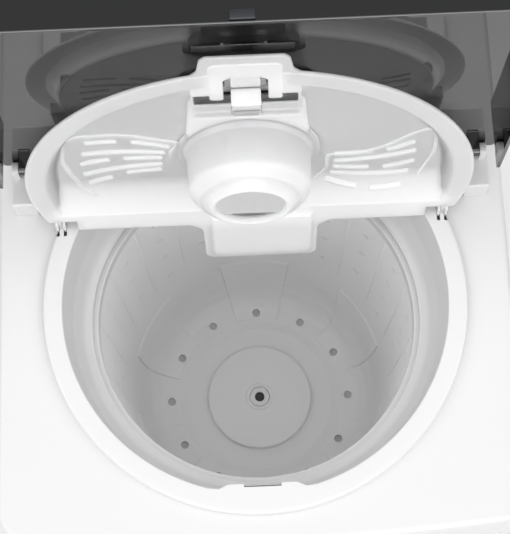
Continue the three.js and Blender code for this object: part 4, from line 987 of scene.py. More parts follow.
@dataclass
class SpinBasket(Assembly):
    """Basket moulding with its ribs, slots and panels, its rim, its hub and the drive below it."""

    columns: int = 20
    slot_rows: tuple[float, ...] = (79.5, 119.0, 164.0, 216.0)
    stagger: float = 30.0
    slot_width: float = 6.4
    slot_height: float = 2.2
    rib_top: float = 76.4
    rib_foot: float = 284.0
    rib_half: float = 1.5
    panels: int = 6
    panel_rise: float = 2.0
    panel_half_angle: float = 16.5
    panel_foot: float = -395.0
    panel_height: float = 97.0
    panel_foot_width: float = 0.86
    holes: int = 12
    hole_radius: float = 4.0
    hole_circle: float = 88.7
    hub_radius: float = 51.6
    hub_base: float = -393.0

    # The basket's inner face as radius and depth below the ring's top.
    inner_face: tuple[Pair, ...] = (
        (127.6, 76.0), (118.3, 300.0), (116.0, 352.0), (113.2, 370.0), (107.0, 386.5),
        (97.0, 394.0),
    )

    def build(self) -> None:
        """Builds and dresses the basket and its drive."""
        self.foot_ring()
        self.moulding()
        self.rim()
        self.hub()
        self.dress(Finish.ZINC, "drive_shaft")
        self.dress(Finish.CAST, "brake_drum", "motor_top_cap", "motor_shell")
        self.dress(Finish.LAMINATED, "motor_stator", "motor_rotor")
        self.dress(Finish.PAINTED_STEEL, "motor_mount_plate", "brake_bracket", "brake_lever")
        self.dress(Finish.RUBBER, "brake_pad", "brake_cable_sheath")

    def radius_at(self, drop: float) -> float:
        """Radius of the basket's inner face at a depth below the ring's top."""
        for (r0, d0), (r1, d1) in zip(self.inner_face, self.inner_face[1:]):
            if drop <= d1:
                return r0 + (r1 - r0) * (drop - d0) / (d1 - d0)
        return self.inner_face[-1][0]

    def floor_bores(self) -> Shape:
        """The cutters of the circle of holes in the floor."""
        bores = []
        for i in range(self.holes):
            x, y = polar(self.hole_circle, i * 360.0 / self.holes)
            bores.append(rod(self.hole_radius, (x, y, -399.0), (x, y, -386.0), 28))
        return joined(bores)

    def foot_ring(self) -> None:
        """Ring below the floor that closes its holes, so that they read as grey pits."""
        section = [(80.0, -396.9), (80.0, -400.4), (98.0, -400.4), (98.0, -396.9), (80.0, -396.9)]
        ring = combined(spun(section, 120), *cut(self.floor_bores()))
        self.piece("basket_foot_ring", ring, WELL, Finish.TEXTURED_PP, "basket", "basket_plastic",
                   smooth_angle=38.0)

    def moulding(self) -> None:
        """The basket itself, with slots, ribs, panels and floor holes."""
        face = [(r, -d, 14.0 if i else 0) for i, (r, d) in enumerate(self.inner_face)]
        floor = [(80.0, -394.0, 6.0), (72.0, -392.6, 6.0), (8.3, -392.6, 0)]
        inside = eased([*face, *floor], closed=False, steps=8)
        outside = eased([
            (8.3, -412.0, 0), (30.0, -412.0, 2.0), (30.0, -397.0, 2.0), (99.0, -397.0, 8.0),
            (110.0, -389.0, 8.0), (115.2, -371.0, 8.0), (118.0, -352.0, 8.0),
            (120.3, -300.0, 8.0), (129.6, -76.0, 0),
        ], closed=False, steps=5)
        shell = spun([*inside, *outside, inside[0]], 160)
        slots = joined(
            self.drain_slot(i, drop) for i in range(self.columns) for drop in self.slot_rows
        )
        ribs = [self.rib(i) for i in range(self.columns)]
        panels = [self.panel(90.0 + i * 360.0 / self.panels) for i in range(self.panels)]
        slotted = combined(shell, *cut(slots))
        whole = combined(slotted, *add(*panels), *cut(self.floor_bores()))
        self.piece("basket_moulding", joined([whole, *ribs]), WELL, Finish.BASKET_PP, "basket",
                   "basket_plastic", ["basket"], 38.0)

    def drain_slot(self, column: int, drop: float) -> Shape:
        """The cutter of one drain slot.

        Args:
            column: Number of its upright column.
            drop: Its depth below the ring's top, before odd columns are set lower.

        Returns:
            The cutter.
        """
        depth = drop + (column % 2) * self.stagger
        radius = self.radius_at(depth)
        bar = slab((radius - 5.0, -self.slot_width / 2, -depth - self.slot_height / 2),
                   (radius + 7.0, self.slot_width / 2, -depth + self.slot_height / 2), 0.9, 3)
        return turned(bar, (column + 0.25) * 360.0 / self.columns)

    def rib(self, number: int) -> Shape:
        """One thin upright rib that fades out towards its foot."""
        top, foot = self.rib_top, self.rib_foot
        outline = eased([
            (self.radius_at(top) + 0.8, -top, 0), (self.radius_at(top) - 0.8, -top, 0.5),
            (self.radius_at(240.0) - 0.8, -240.0, 60.0), (self.radius_at(foot) + 0.3, -foot, 0),
            (self.radius_at(foot) + 0.8, -foot, 0),
        ], closed=False)
        fin = prism(outline, -self.rib_half, self.rib_half, Plane.XZ, 0.7)
        return turned(fin, (number + 0.75) * 360.0 / self.columns)

    def panel(self, angle: float) -> Shape:
        """One raised panel from the floor's edge up the lower wall, narrower at its foot.

        Args:
            angle: Where its middle stands round the basket, in degrees.

        Returns:
            The closed shape.
        """
        rise = self.panel_rise
        face = [(r - rise, -d + (rise if d > 386.0 else 0.0)) for r, d in self.inner_face[2:]]
        back = [(r + 1.0, -d - 0.8) for r, d in self.inner_face[:0:-1]]
        outline = [
            (self.radius_at(298.0) + 1.0, -298.0), (self.radius_at(300.0) - 0.4, -300.0),
            (self.radius_at(304.0) - rise, -304.0), *face, (83.0, -393.6), (83.0, -395.4),
            *back[:-1],
        ]
        shape = bmesh.new()
        section = shape.faces.new([shape.verts.new((r, 0.0, z)) for r, z in outline])
        half = math.radians(self.panel_half_angle)
        bmesh.ops.spin(
            shape, geom=[section, *section.edges, *section.verts], cent=(0, 0, 0), axis=(0, 0, 1),
            dvec=(0, 0, 0), angle=2 * half, steps=14,
        )
        cleaned(shape)
        rims = [edge for edge in shape.edges
                if len(edge.link_faces) == 2 and edge.calc_face_angle() > 0.7]
        rounded(shape, rims, 1.5, 3)
        for vert in shape.verts:
            # The panel has its full width at the top and a share of it at the floor.
            share = min(1.0, max(0.0, (vert.co.z - self.panel_foot) / self.panel_height))
            width = self.panel_foot_width + (1.0 - self.panel_foot_width) * share
            squeeze = (math.atan2(vert.co.y, vert.co.x) - half) * width
            vert.co.xy = polar(math.hypot(vert.co.x, vert.co.y), math.degrees(squeeze))
        return turned(shape, angle)

    def rim(self) -> None:
        """Ring pressed over the basket's edge."""
        profile = eased([
            (125.0, -75.7, 0), (125.0, -64.4, 1.6), (131.4, -63.9, 1.2),
            (132.0, -83.7, 1.0), (129.9, -83.7, 0), (129.9, -75.7, 0),
        ], closed=False, steps=5)
        self.piece("basket_rim_ring", spun([*profile, profile[0]], 160), WELL, Finish.GLOSS_ABS,
                   "basket", "panel_white", ["basket_rim"], 40.0)

    def hub(self) -> None:
        """Round hub cover, the bolt in its middle, and the screw in the bolt, whose dark colour is
        also painted shade in the bolt's hole.
        """
        radius, base = self.hub_radius, self.hub_base
        disc = eased([
            (10.1, base, 0), (radius, base, 0), (radius, -384.7, 2.2), (14.0, -383.4, 3.0),
            (12.6, -384.6, 0.8), (10.1, -384.4, 0.4), (10.1, base, 0),
        ], closed=False, steps=5)
        self.piece("hub_cover", spun(disc, 128), WELL, Finish.BASKET_PP, "basket",
                   "basket_plastic", ["hub_disc"], 40.0)
        # The screw's head fills the bottom of the bolt's hole: a black-oxide screw whose dark
        # finish is also painted shade for the deep hole.
        screw = eased([(0.0, -391.9, 0), (4.5, -391.9, 0), (4.5, -387.6, 0.6), (0.0, -387.4, 0)],
                      closed=False)
        self.piece("hub_screw_head_hole_shade", spun(screw, 48), WELL, Finish.BLACK_OXIDE, "basket", "steel",
                   smooth_angle=40.0)
        bolt = eased([
            (0.0, base, 0), (9.7, base, 0), (9.7, -384.2, 0.8), (8.4, -383.8, 0.5),
            (6.4, -385.0, 0.8), (4.9, -385.2, 0.3), (4.7, -392.0, 0.2), (0.0, -392.0, 0),
        ], closed=False, steps=5)
        self.piece("hub_bolt_head", spun(bolt, 64), WELL, Finish.BASKET_PP, "basket",
                   "basket_plastic", ["hub_bolt"], 40.0)


@dataclass
class InnerLid(Assembly):
    """The inner lid, drawn closed from its hinge axis: forwards is -Y and its top side is up."""

    radius: float = 160.9
    centre: float = -60.0
    band: float = 15.5
    low: float = -5.0
    high: float = 9.5
    field_low: float = 5.4
    field_high: float = 7.4
    brim: float = 2.8
    round_start: float = 11.0
    strip_half: float = 131.5
    strip_half_wide: float = 148.0
    slope_far: float = 56.0
    slope_near: float = 22.5
    window_near: float = 181.0
    window_far: float = 193.5
    block_half: float = 35.5
    chamber_half: float = 34.2
    guard_half: float = 23.5
    guard_near: float = 187.5
    guard_far: float = 231.0
    pocket_half: float = 14.4
    recess_far: float = 216.0
    recess_depth: float = 4.4
    arm_half: float = 9.5
    arm_end: float = 202.0
    arm_thickness: float = 3.3
    pin_notch_reach: float = 147.2
    pin_notch_half: float = 8.5
    cup_reach: float = 100.0
    cup_radius: float = 43.4
    cup_foot: float = -41.0
    cup_end: float = 26.5
    cup_flange: float = 50.0
    line_width: float = 2.6
    # Width and height of the louvres below and above the lid. Those longer than louvre_long bow
    # by the first of louvre_bows, and the others by the second.
    louvre_below: Pair = (5.4, 2.0)
    louvre_above: Pair = (4.4, 0.9)
    louvre_long: float = 45.0
    louvre_bows: Pair = (3.0, 0.8)

    # The louvres, each from (x, forwards) to (x, forwards), and the raised line round each field.
    left_rows: tuple[tuple[float, ...], ...] = (
        (-113.5, 117.3, -90.0, 118.1), (-81.2, 117.3, -54.4, 106.6),
        (-117.6, 101.1, -57.8, 98.6),
        (-119.6, 85.7, -97.7, 91.5), (-88.5, 92.2, -60.4, 91.1),
        (-119.5, 69.7, -61.1, 81.8),
        (-116.9, 55.5, -97.8, 64.4), (-88.6, 70.0, -61.7, 73.9),
    )
    right_rows: tuple[tuple[float, ...], ...] = (
        (59.5, 86.0, 88.4, 88.0), (96.9, 88.7, 117.0, 100.6),
        (59.9, 75.0, 118.9, 86.7),
        (59.4, 67.1, 86.3, 62.9), (95.7, 62.0, 118.8, 71.1),
        (57.5, 57.6, 115.8, 55.3),
        (53.3, 51.4, 78.7, 40.7), (86.9, 38.2, 111.0, 40.9),
    )
    left_line: tuple[Corner, ...] = (
        (-55.0, 86.0, 0), (-55.0, 99.0, 9), (-47.5, 112.5, 1.6), (-87.0, 129.0, 60),
        (-117.8, 127.2, 9), (-127.5, 119.0, 9), (-131.5, 88.0, 50), (-121.8, 50.0, 20),
        (-112.0, 43.0, 0),
    )
    right_line: tuple[Corner, ...] = (
        (46.0, 51.0, 0), (56.0, 64.0, 14), (55.0, 85.0, 3), (89.0, 88.0, 50),
        (112.0, 110.0, 30), (126.0, 120.0, 7), (131.0, 106.0, 16), (131.5, 82.0, 50),
        (122.0, 50.0, 0),
    )

    def build(self) -> None:
        """Builds and dresses the inner lid."""
        self.moulding()
        self.cup()
        self.latch()
        self.dress(Finish.ZINC, "inner_lid_pin_left", "inner_lid_pin_right")

    def moulding(self) -> None:
        """The lid's main moulding, with the openings for the latch, the cup and the pins."""
        cup_hole = rod(self.cup_radius - 5.0, (0, -self.cup_reach, -20.0),
                       (0, -self.cup_reach, 30.0), 96)
        body = without_specks(combined(
            self.plate(),
            *add(self.hinge_band(), self.tab(), *self.latch_block(), self.pan()),
            *cut(self.outside_brim()),
            *add(self.neck(), *self.wings()),
            *cut(*self.latch_openings()),
            *add(self.guard()),
            *cut(*self.arm_recess(), cup_hole, *self.pin_notches()),
        ))
        # The latch arm ends at the window, and this fixed strip carries its line on to the guard.
        tongue = slab((-self.arm_half, -214.0, self.low + 0.3),
                      (self.arm_half, -self.arm_end - 0.3, self.low + 3.6), 0.5)
        self.piece("inner_lid_moulding", joined([body, tongue, *self.knuckles()]), LID,
                   Finish.LID_PP, "inner_lid", "lid_white", ["inner_lid"], 34.0)

    def near_hinge(self) -> Shape:
        """The space where the round plate may not be, so that it ends in a straight edge."""
        return slab((-180.0, -self.round_start, -40.0), (180.0, 120.0, 40.0))

    def plate(self) -> Shape:
        """Round crown with the thin brim round it, cut straight towards the hinge."""
        inner = self.radius - self.band
        brim_top = self.low + self.brim
        profile = eased([
            (0.0, self.field_low, 0), (inner - 6.5, self.field_low, 5.0),
            (inner + 0.4, self.low + 0.6, 3.0), (inner + 2.2, self.low, 1.4),
            (self.radius - 1.4, self.low, 1.2), (self.radius, self.low + 1.3, 1.2),
            (self.radius - 0.4, brim_top, 0.8), (inner + 2.0, brim_top, 2.0),
            (inner - 7.5, self.field_high, 4.0), (0.0, self.field_high, 0),
        ], closed=False, steps=5)
        return combined(spun(profile, 220, (0.0, self.centre)), *cut(self.near_hinge()))

    def hinge_band(self) -> Shape:
        """Thick strip along the hinge side, which slopes down to the plate."""
        section = eased([
            (4.6, self.low, 1.2), (4.6, self.high, 1.6), (-14.0, self.high, 3.0),
            (-34.0, self.field_high, 8.0), (-68.0, self.field_high - 0.6, 0),
            (-68.0, self.field_low + 0.3, 0), (-self.slope_far, self.field_low, 90.0),
            (-self.slope_near, self.low + 0.9, 6.0), (-self.slope_near + 2.0, self.low, 1.5),
        ], steps=5)
        half, wide_half = self.strip_half, self.strip_half_wide
        wide = combined(prism(section, -wide_half, wide_half, Plane.YZ), *cut(self.near_hinge()))
        return combined(prism(section, -half, half, Plane.YZ, 1.2), *add(wide))

    def tab(self) -> Shape:
        """Front tab that carries the latch."""
        outline = eased([*mirrored([
            (-50.0, -210.0, 0), (-35.0, -216.6, 7.0), (-30.6, -221.5, 6.0), (-28.4, -234.6, 3.0),
            (-24.8, -238.4, 4.0),
        ]), (40.0, -200.0, 0), (-40.0, -200.0, 0)], steps=8)
        return prism(outline, self.low + 0.6, self.low + self.brim + 0.6, bevel=1.2, segments=4)

    def latch_block(self) -> list[Shape]:
        """The block behind the latch: its body, the step on it, the arch and the back."""
        half = self.block_half
        # The arch carries the block out to the brim, and the back makes room for the chambers.
        block = prism(rectangle(-half, half, -158.6, -198.0, 4.0, 1.0), self.low + 2.0,
                      self.field_high, bevel=1.2, ends=Ends.LOW)
        step = prism(rectangle(-half + 1.0, half - 1.0, -171.5, -196.0, 2.0, 1.0), self.low, 2.0,
                     bevel=0.9, ends=Ends.LOW)
        arch = combined(
            slab((-half, -222.0, self.low + 0.2), (half, -184.0, self.high), 0.6),
            *keep(rod(self.radius - 1.0, (0, self.centre, -20.0), (0, self.centre, 30.0), 200)),
        )
        back = prism(eased([(-41.0, -176.0, 6.0), (41.0, -176.0, 6.0), (38.0, -214.0, 6.0),
                            (-38.0, -214.0, 6.0)]),
                     self.field_high - 1.0, self.high + 1.6, bevel=1.4, ends=Ends.HIGH)
        return [block, step, arch, back]

    def outside_brim(self) -> Shape:
        """The space above the brim and outside the crown, except where the latch block stands.

        What stays behind the brim could show over its edge when the lid is open, so the block's
        outer corners are cut back and the part behind the arm slopes down.
        """
        inner = self.radius - self.band
        brim_top = self.low + self.brim
        foot = (inner + 0.5, brim_top)
        space = spun([
            foot, (230.0, brim_top), (230.0, 30.0), (inner - 24.0, 30.0),
            (inner - 14.0, self.high + 0.2), (inner - 9.0, self.field_high + 0.2), foot,
        ], 160, (0.0, self.centre))
        block = prism([(-36.0, -160.0), (36.0, -160.0), (36.0, -193.6), (29.0, -198.6),
                       (-29.0, -198.6), (-36.0, -193.6)], -12.0, 40.0)
        behind_arm = prism([
            (-197.0, -12.0), (-233.0, -12.0), (-233.0, brim_top), (-221.0, brim_top + 0.3),
            (-209.0, 5.6), (-200.5, 7.0), (-197.0, 7.0),
        ], -27.0, 27.0, Plane.YZ)
        hinge_side = slab((-260.0, -34.0, -40.0), (260.0, 200.0, 60.0))
        return combined(space, *cut(block, behind_arm, hinge_side))

    def latch_openings(self) -> list[Shape]:
        """The cutters of the latch block.

        Returns:
            The deep chamber, the flat chamber, the finger window, the hook's throat below and the
            button's slot above.
        """
        half = self.chamber_half
        window = rectangle(-34.5, 33.5, -self.window_near, -self.window_far, 1.5, 1.5)
        return [
            slab((-half, -193.6, self.low + 1.6), (half, -172.8, self.high - 1.8)),
            slab((-half, -173.0, self.low + 3.8), (half, -161.0, self.field_high - 1.8)),
            prism(window, -20.0, 30.0),
            slab((-14.2, -206.0, -20.0), (14.2, -190.0, 5.0)),
            slab((-15.2, -197.8, 0.0), (15.2, -181.5, 30.0)),
        ]

    def guard(self) -> Shape:
        """U-shaped guard round the latch arm, with the inner corners of its bridge sloped."""
        half, pocket = self.guard_half, self.pocket_half
        outline = eased([
            *mirrored([(-half, -self.guard_near, 1.6), (-half, -self.guard_far, 6.0)]),
            *mirrored([(pocket, -self.guard_near, 1.6), (pocket, -210.5, 2.0),
                       (10.5, -215.0, 2.0)]),
        ])
        return prism(outline, self.low - 0.4, self.low + 5.0, bevel=1.2, ends=Ends.LOW)

    def arm_recess(self) -> list[Shape]:
        """The cutters that let the arm in: a long groove, and a pocket inside the guard."""
        pocket = eased(mirrored([(-self.pocket_half, -186.0, 0)])
                       + mirrored([(self.pocket_half, -212.0, 1), (9.0, -self.recess_far, 1)]))
        start, end = self.low - 1.0, self.low + self.recess_depth
        return [
            slab((-9.9, -self.recess_far, start), (9.9, -164.0, end)),
            prism(pocket, start, end),
        ]

    def pin_notches(self) -> list[Shape]:
        """The cutters that leave room for the clips beside the hinge strip."""
        return [
            slab((x - self.pin_notch_half, -self.round_start, -20.0),
                 (x + self.pin_notch_half, 12.0, 30.0))
            for x in (side * self.pin_notch_reach for side in SIDES)
        ]

    def neck(self) -> Shape:
        """Soft-edged slab between the latch block and the cup."""
        outline = eased(mirrored([
            (-32.0, -174.0, 0), (-38.5, -172.0, 6.0), (-41.0, -140.0, 30.0), (-46.0, -98.0, 0),
        ]))
        return prism(outline, self.field_low - 2.6, self.field_low + 1.0, bevel=2.4, segments=5,
                     ends=Ends.LOW)

    def knuckles(self) -> list[Shape]:
        """Hinge knuckles that turn between the clips' cheeks."""
        outline = eased([(-13.0, -3.6, 0), (0.0, -3.6, 0), (3.6, 0.0, 3.0), (0.0, 3.6, 0),
                         (-13.0, 3.6, 0)])
        return [
            combined(prism(outline, x - 1.4, x + 1.4, Plane.YZ, 0.3, 2),
                     *cut(rod(2.1, (x - 3, 0, 0), (x + 3, 0, 0), 24)))
            for x in (side * CLIP_REACH for side in SIDES)
        ]

    def pan(self) -> Shape:
        """Water pan behind the hinge: a dish whose floor carries a raised pad below."""
        flange = eased([
            (-60.0, -12.0, 0), (-60.0, 3.4, 0), (-47.0, 4.0, 8.0), (-37.4, 14.0, 9.0),
            (-37.4, 68.0, 9.0), (50.2, 68.0, 9.0), (50.2, 14.0, 9.0), (60.0, 4.0, 8.0),
            (73.0, 3.4, 0), (73.0, -12.0, 0),
        ], steps=9)
        pads = []
        for inset, drop in ((0.0, 1.0), (1.6, 3.0)):
            pad = rectangle(-31.0 + inset, 46.4 - inset, -10.0, 60.6 - 2.4 * inset, 0, 8.0, 8)
            pads.append(prism(pad, self.low - drop, self.low + 1.0, bevel=0.7, ends=Ends.LOW))
        dish = prism(rectangle(-35.0, 47.8, 7.0, 65.6, 6.0, 7.0), self.low + 2.4, 9.0)
        return combined(prism(flange, self.low, 6.2, bevel=1.2, segments=4), *add(*pads),
                        *cut(dish))

    def underside(self, reach: float) -> float:
        """Height of the lid's underside at a distance forward of the hinge."""
        share = (self.slope_far - reach) / (self.slope_far - self.slope_near)
        drop = self.low + 0.9 - self.field_low
        return self.field_low + drop * min(1.0, max(0.0, share))

    def laid(self, shape: Shape) -> Shape:
        """Lays a shape that was drawn on the flat field onto the underside with its slope."""
        for vert in shape.verts:
            vert.co.z += self.underside(-vert.co.y) - self.field_low
        return shape

    def wings(self) -> list[Shape]:
        """The two vent fields: a raised line round three sides and rows of louvres."""
        shapes = []
        # The right field's louvres bow the other way, and a little less.
        fields = ((self.left_rows, self.left_line, -1.0), (self.right_rows, self.right_line, 0.9))
        for rows, line, bow in fields:
            path = eased([(x, -s, r) for x, s, r in line], closed=False, steps=8)
            shapes.append(self.laid(prism(
                ribbon(path, self.line_width), self.field_low - 1.3, self.field_low + 1.0,
                bevel=0.9, ends=Ends.LOW,
            )))
            below: list[Shape] = []
            above: list[Shape] = []
            for x0, s0, x1, s1 in rows:
                start, end = (x0, -s0), (x1, -s1)
                short = math.hypot(x1 - x0, s1 - s0) <= self.louvre_long
                bend = bow * self.louvre_bows[short]
                below.append(self.laid(louvre(start, end, *self.louvre_below, bend,
                                              self.field_low + 0.05)))
                above.append(louvre(start, end, *self.louvre_above, bend, self.field_high - 0.05))
            shapes += [joined(below), joined(above)]
        return shapes

    def cup(self) -> None:
        """Spray cup with its round shoulder, end ring and outlet slot."""
        r, foot, end = self.cup_radius, self.cup_foot, self.cup_end
        top = self.field_low - 0.3
        profile = eased([
            (self.cup_flange, top, 0), (self.cup_flange, top - 1.6, 0.9),
            (r + 2.0, top - 2.2, 2.0), (r, top - 7.0, 4.0), (r - 1.2, foot + 12.5, 10.0),
            (r - 6.6, foot + 6.2, 1.0), (r - 8.8, foot + 5.4, 1.0), (r - 11.5, foot + 2.6, 6.0),
            (end + 1.8, foot + 0.3, 3.0), (end, foot - 0.6, 0.9), (end - 1.6, foot - 0.2, 0.8),
            (end - 2.4, foot + 2.6, 0.9), (0.0, foot + 2.8, 0), (0.0, foot + 5.2, 0),
            (end, foot + 5.2, 2.0), (r - 11.0, foot + 8.0, 6.0), (r - 5.0, foot + 18.0, 8.0),
            (r - 2.4, top - 8.0, 0), (r - 2.4, top, 0), (self.cup_flange, top, 0),
        ], closed=False)
        y = -self.cup_reach
        outlet = combined(
            rod(end - 3.4, (0, y, foot - 2.0), (0, y, foot + 8.0), 96),
            *keep(slab((-40.0, y + 14.2, foot - 6.0), (40.0, 0.0, foot + 12.0))),
        )
        shell = combined(spun(profile, 128, (0.0, y)), *cut(outlet))
        self.piece("spray_cup_moulding", shell, LID, Finish.LID_PP, "inner_lid", "lid_white",
                   ["spray_cup"], 40.0)

    def latch(self) -> None:
        """Springy latch arm with its root, stem, finger button and hook."""
        half = self.arm_half
        under = self.low + 0.3
        top = under + self.arm_thickness
        hook = eased([(-self.arm_end, top, 0), (-self.arm_end, -15.6, 1.0), (-200.4, -17.0, 0.8),
                      (-198.8, -15.6, 1.0), (-198.8, top, 0)])
        shapes = [
            slab((-half, -self.arm_end, under), (half, -165.6, top), 0.4),
            slab((-8.6, -171.8, self.low - 0.7), (8.2, -166.0, top - 1.0), 0.6),
            slab((-9.4, -194.0, top - 0.4), (9.4, -185.5, self.high - 3.0), 0.4),
            slab((-13.6, -194.2, self.high - 4.0), (13.6, -185.3, self.high - 1.0), 1.0, 3),
            prism(hook, -half, half, Plane.YZ, 0.4, 2),
        ]
        self.piece("latch_moulding", joined(shapes), LID, Finish.LID_PP, "latch", "lid_white",
                   ["latch_arm"])


@dataclass
class OuterLid(Assembly):
    """Smoked outer lid, one glossy moulding with a deep lip, and its hand strip."""

    face: float = 108.5
    thickness: float = 3.5
    half_width: float = 186.0
    top: float = 304.0
    foot: float = 17.2
    lip: float = 26.0
    wall: float = 3.0
    corner: float = 20.0
    ear_half: float = 4.0

    def outline(self, inset: float, foot: float) -> list[Pair]:
        """The lid's outline seen from the front, drawn smaller by an inset."""
        half = self.half_width - inset
        return rectangle(-half, half, foot, self.top - inset, 3.0, self.corner - inset, 12)

    def build(self) -> None:
        """Builds and dresses the outer lid."""
        front = self.face - self.lip
        body = prism(self.outline(0.0, self.foot), front, self.face + self.thickness, Plane.XZ, 0.9)
        hollow = prism(self.outline(self.wall, self.foot - 8.0), front - 4.0, self.face, Plane.XZ)
        open_foot = slab((-self.half_width - 2, front - 4, self.foot - 4),
                         (self.half_width + 2, self.face, self.foot + 22.0))
        steps = cut(hollow, open_foot)
        y, z = OUTER_HINGE
        for x in (side * OUTER_HINGE_REACH for side in SIDES):
            left, right = x - self.ear_half, x + self.ear_half
            steps += add(slab((left, y, z - 4.0), (right, self.face + 1.0, z + 5.0)),
                         rod(5.0, (left, y, z), (right, y, z), 40))
            steps += cut(rod(3.1, (x - 12.0, y, z), (x + 12.0, y, z)))
        self.piece("outer_lid_moulding", combined(body, *steps), WELL, Finish.SMOKED,
                   "outer_lid", "smoked_lid", ["outer_lid_frame", "outer_lid_pane"], 25.0)
        grip = slab((-7.7, front + 1.5, self.top + 0.2), (7.7, front + 8.0, self.top + 2.4), 0.8, 3)
        self.piece("outer_lid_hand_strip", grip, WELL, Finish.DARK_GLOSS, "outer_lid",
                   "lid_frame_dark", ["outer_lid_grip"])
        self.dress(Finish.ZINC, "outer_lid_pin_left", "outer_lid_pin_right")


@dataclass
class RearConsole(Assembly):
    """Console behind the lids: shelf, control face, timer, inlet, lid switch and bumpers."""

    half_width: float = 181.0
    wall: float = 3.0
    sole: float = -6.7
    front: float = 76.3
    shelf: float = 16.0
    shelf_below: float = 12.4
    step: float = 118.0
    rear: float = 187.0
    slope: float = 15.5
    face_foot: Pair = (124.0, 62.0)
    face_back: float = 184.0
    ear_offset: float = 6.8
    knob: Pair = (100.0, 154.0)
    minutes: int = 10
    minute_angle: float = 30.0
    dial_inner: float = 22.6
    dial_outer: float = 26.2
    figure_circle: float = 31.0
    figure_size: float = 6.0
    film_top: float = 2.1
    print_height: float = 0.06
    flutes: int = 24
    flute_circle: float = 18.6

    def face_height(self, y: float) -> float:
        """Height of the sloping control face."""
        start, height = self.face_foot
        return height + (y - start) * math.tan(math.radians(self.slope))

    def control(self) -> Matrix:
        """Frame of the control face: zero at the knob's axis, third axis out of the face."""
        x, y = self.knob
        place = Matrix.Translation((x, y, self.face_height(y)))
        return WELL @ place @ Matrix.Rotation(math.radians(self.slope), 4, "X")

    def build(self) -> None:
        """Builds and dresses the console."""
        self.housing()
        self.panel()
        self.timer()
        self.dress(Finish.GREY_PP, "rinse_inlet", "rinse_pipe")
        self.dress(Finish.BLACK_PP, "lid_switch", "timer_unit")
        self.dress(Finish.TEXTURED_PP, "lid_switch_plunger", "timer_spindle")
        self.dress(Finish.RUBBER, "lid_bumper_left", "lid_bumper_right")

    def housing(self) -> None:
        """The console's moulding, hollow below, with the hinge ears of the outer lid."""
        front, rear, sole, wall = self.front, self.rear, self.sole, self.wall
        top = self.face_height(self.face_back)
        section = eased([
            (front, sole, 0), (rear, sole, 0), (rear, top - 2.0, 4.0),
            (self.face_back, top, 3.0), (*self.face_foot, 6.0), (self.step, 56.0, 5.0),
            (self.step, self.shelf, 0), (front, self.shelf, 2.0),
        ])
        hollow = [
            (front + wall, sole - 1), (rear - wall, sole - 1), (rear - wall, top - 7.5),
            (180.0, top - 6.0), (125.0, 58.0), (self.step + wall, 53.0),
            (self.step + wall, self.shelf_below),
            (front + wall, self.shelf_below),
        ]
        steps = cut(
            prism(hollow, -self.half_width + wall, self.half_width - wall, Plane.YZ),
            slab((-163.5, 70.0, sole - 1), (163.5, 150.0, self.shelf_below)),
            rod(12.3, (6.0, 175.0, 44.0), (6.0, 200.0, 44.0), 48),
            rod(4.3, (150.0, 92.0, 0.0), (150.0, 92.0, 30.0)),
        )
        y = OUTER_HINGE[0]
        cheek = eased([(y - 5.1, 15.0, 0), (y - 5.1, 28.6, 5.2), (y + 5.1, 28.6, 5.2),
                       (y + 5.1, 15.0, 0)])
        for middle in (side * OUTER_HINGE_REACH for side in SIDES):
            for x in (middle + ear * self.ear_offset for ear in SIDES):
                steps += add(prism(cheek, x - 2.5, x + 2.5, Plane.YZ, 0.5, 2))
            steps += cut(rod(3.3, (middle - 20, *OUTER_HINGE), (middle + 20, *OUTER_HINGE)))
        body = prism(section, -self.half_width, self.half_width, Plane.YZ, 2.0, 4)
        self.piece("console_housing", combined(body, *steps), WELL, Finish.GLOSS_ABS, "casing",
                   "casing_white", ["rear_console"], 28.0)

    def panel(self) -> None:
        """Printed film on the control face, with a numbered dial and its ring."""
        outline = rectangle(-250.0, 60.0, -26.0, 26.0, 6.0, 6.0)
        plate = combined(prism(outline, 0.3, self.film_top, bevel=0.4, segments=2, ends=Ends.HIGH),
                         *cut(rod(5.0, (0, 0, -5.0), (0, 0, 8.0), 40)))
        self.piece("control_film", plate, self.control(), Finish.FASCIA, "casing", "fascia_grey",
                   ["console_fascia"])
        low, high = self.film_top - 0.1, self.film_top + 0.1
        marks: list[Shape] = []
        for minute in range(self.minutes + 1):
            # The marks of 0, 5 and 10 minutes are longer.
            outer = self.dial_outer - (1.6 if minute % 5 else 0.6)
            mark = slab((self.dial_inner, -0.35, low), (outer, 0.35, high))
            marks.append(turned(mark, 90.0 - minute * self.minute_angle))
        outer, inner = self.dial_outer, self.dial_outer - 0.4
        marks.append(spun([(outer, low), (outer, high), (inner, high), (inner, low),
                           (outer, low)], 96))
        # The film ends below the dial's top, so the 0 stands beside the dial.
        marks.append(self.figure("0", -self.figure_circle, 18.0))
        for minute in (5, 10):
            place = polar(self.figure_circle, 90.0 - minute * self.minute_angle)
            marks.append(self.figure(str(minute), *place))
        self.piece("dial_print", joined(marks), self.control(), Finish.INK, "casing",
                   "switch_dark")

    def figure(self, text: str, x: float, y: float) -> Shape:
        """A printed number as a thin raised shape.

        Args:
            text: The number.
            x: Place of its middle across the control face, in millimetres.
            y: Place of its middle up the control face.

        Returns:
            The closed shape.
        """
        curve = bpy.data.curves.new("figure", "FONT")
        curve.body = text
        curve.size = self.figure_size
        curve.extrude = self.print_height
        curve.align_x = "CENTER"
        curve.align_y = "CENTER"
        item = linked("figure", curve)
        graph = bpy.context.evaluated_depsgraph_get()
        mesh = bpy.data.meshes.new_from_object(item.evaluated_get(graph))
        shape = bmesh.new()
        shape.from_mesh(mesh)
        bpy.data.objects.remove(item)
        bpy.data.curves.remove(curve)
        bpy.data.meshes.remove(mesh)
        return moved(shape, Matrix.Translation((x, y, self.film_top + 0.02)))

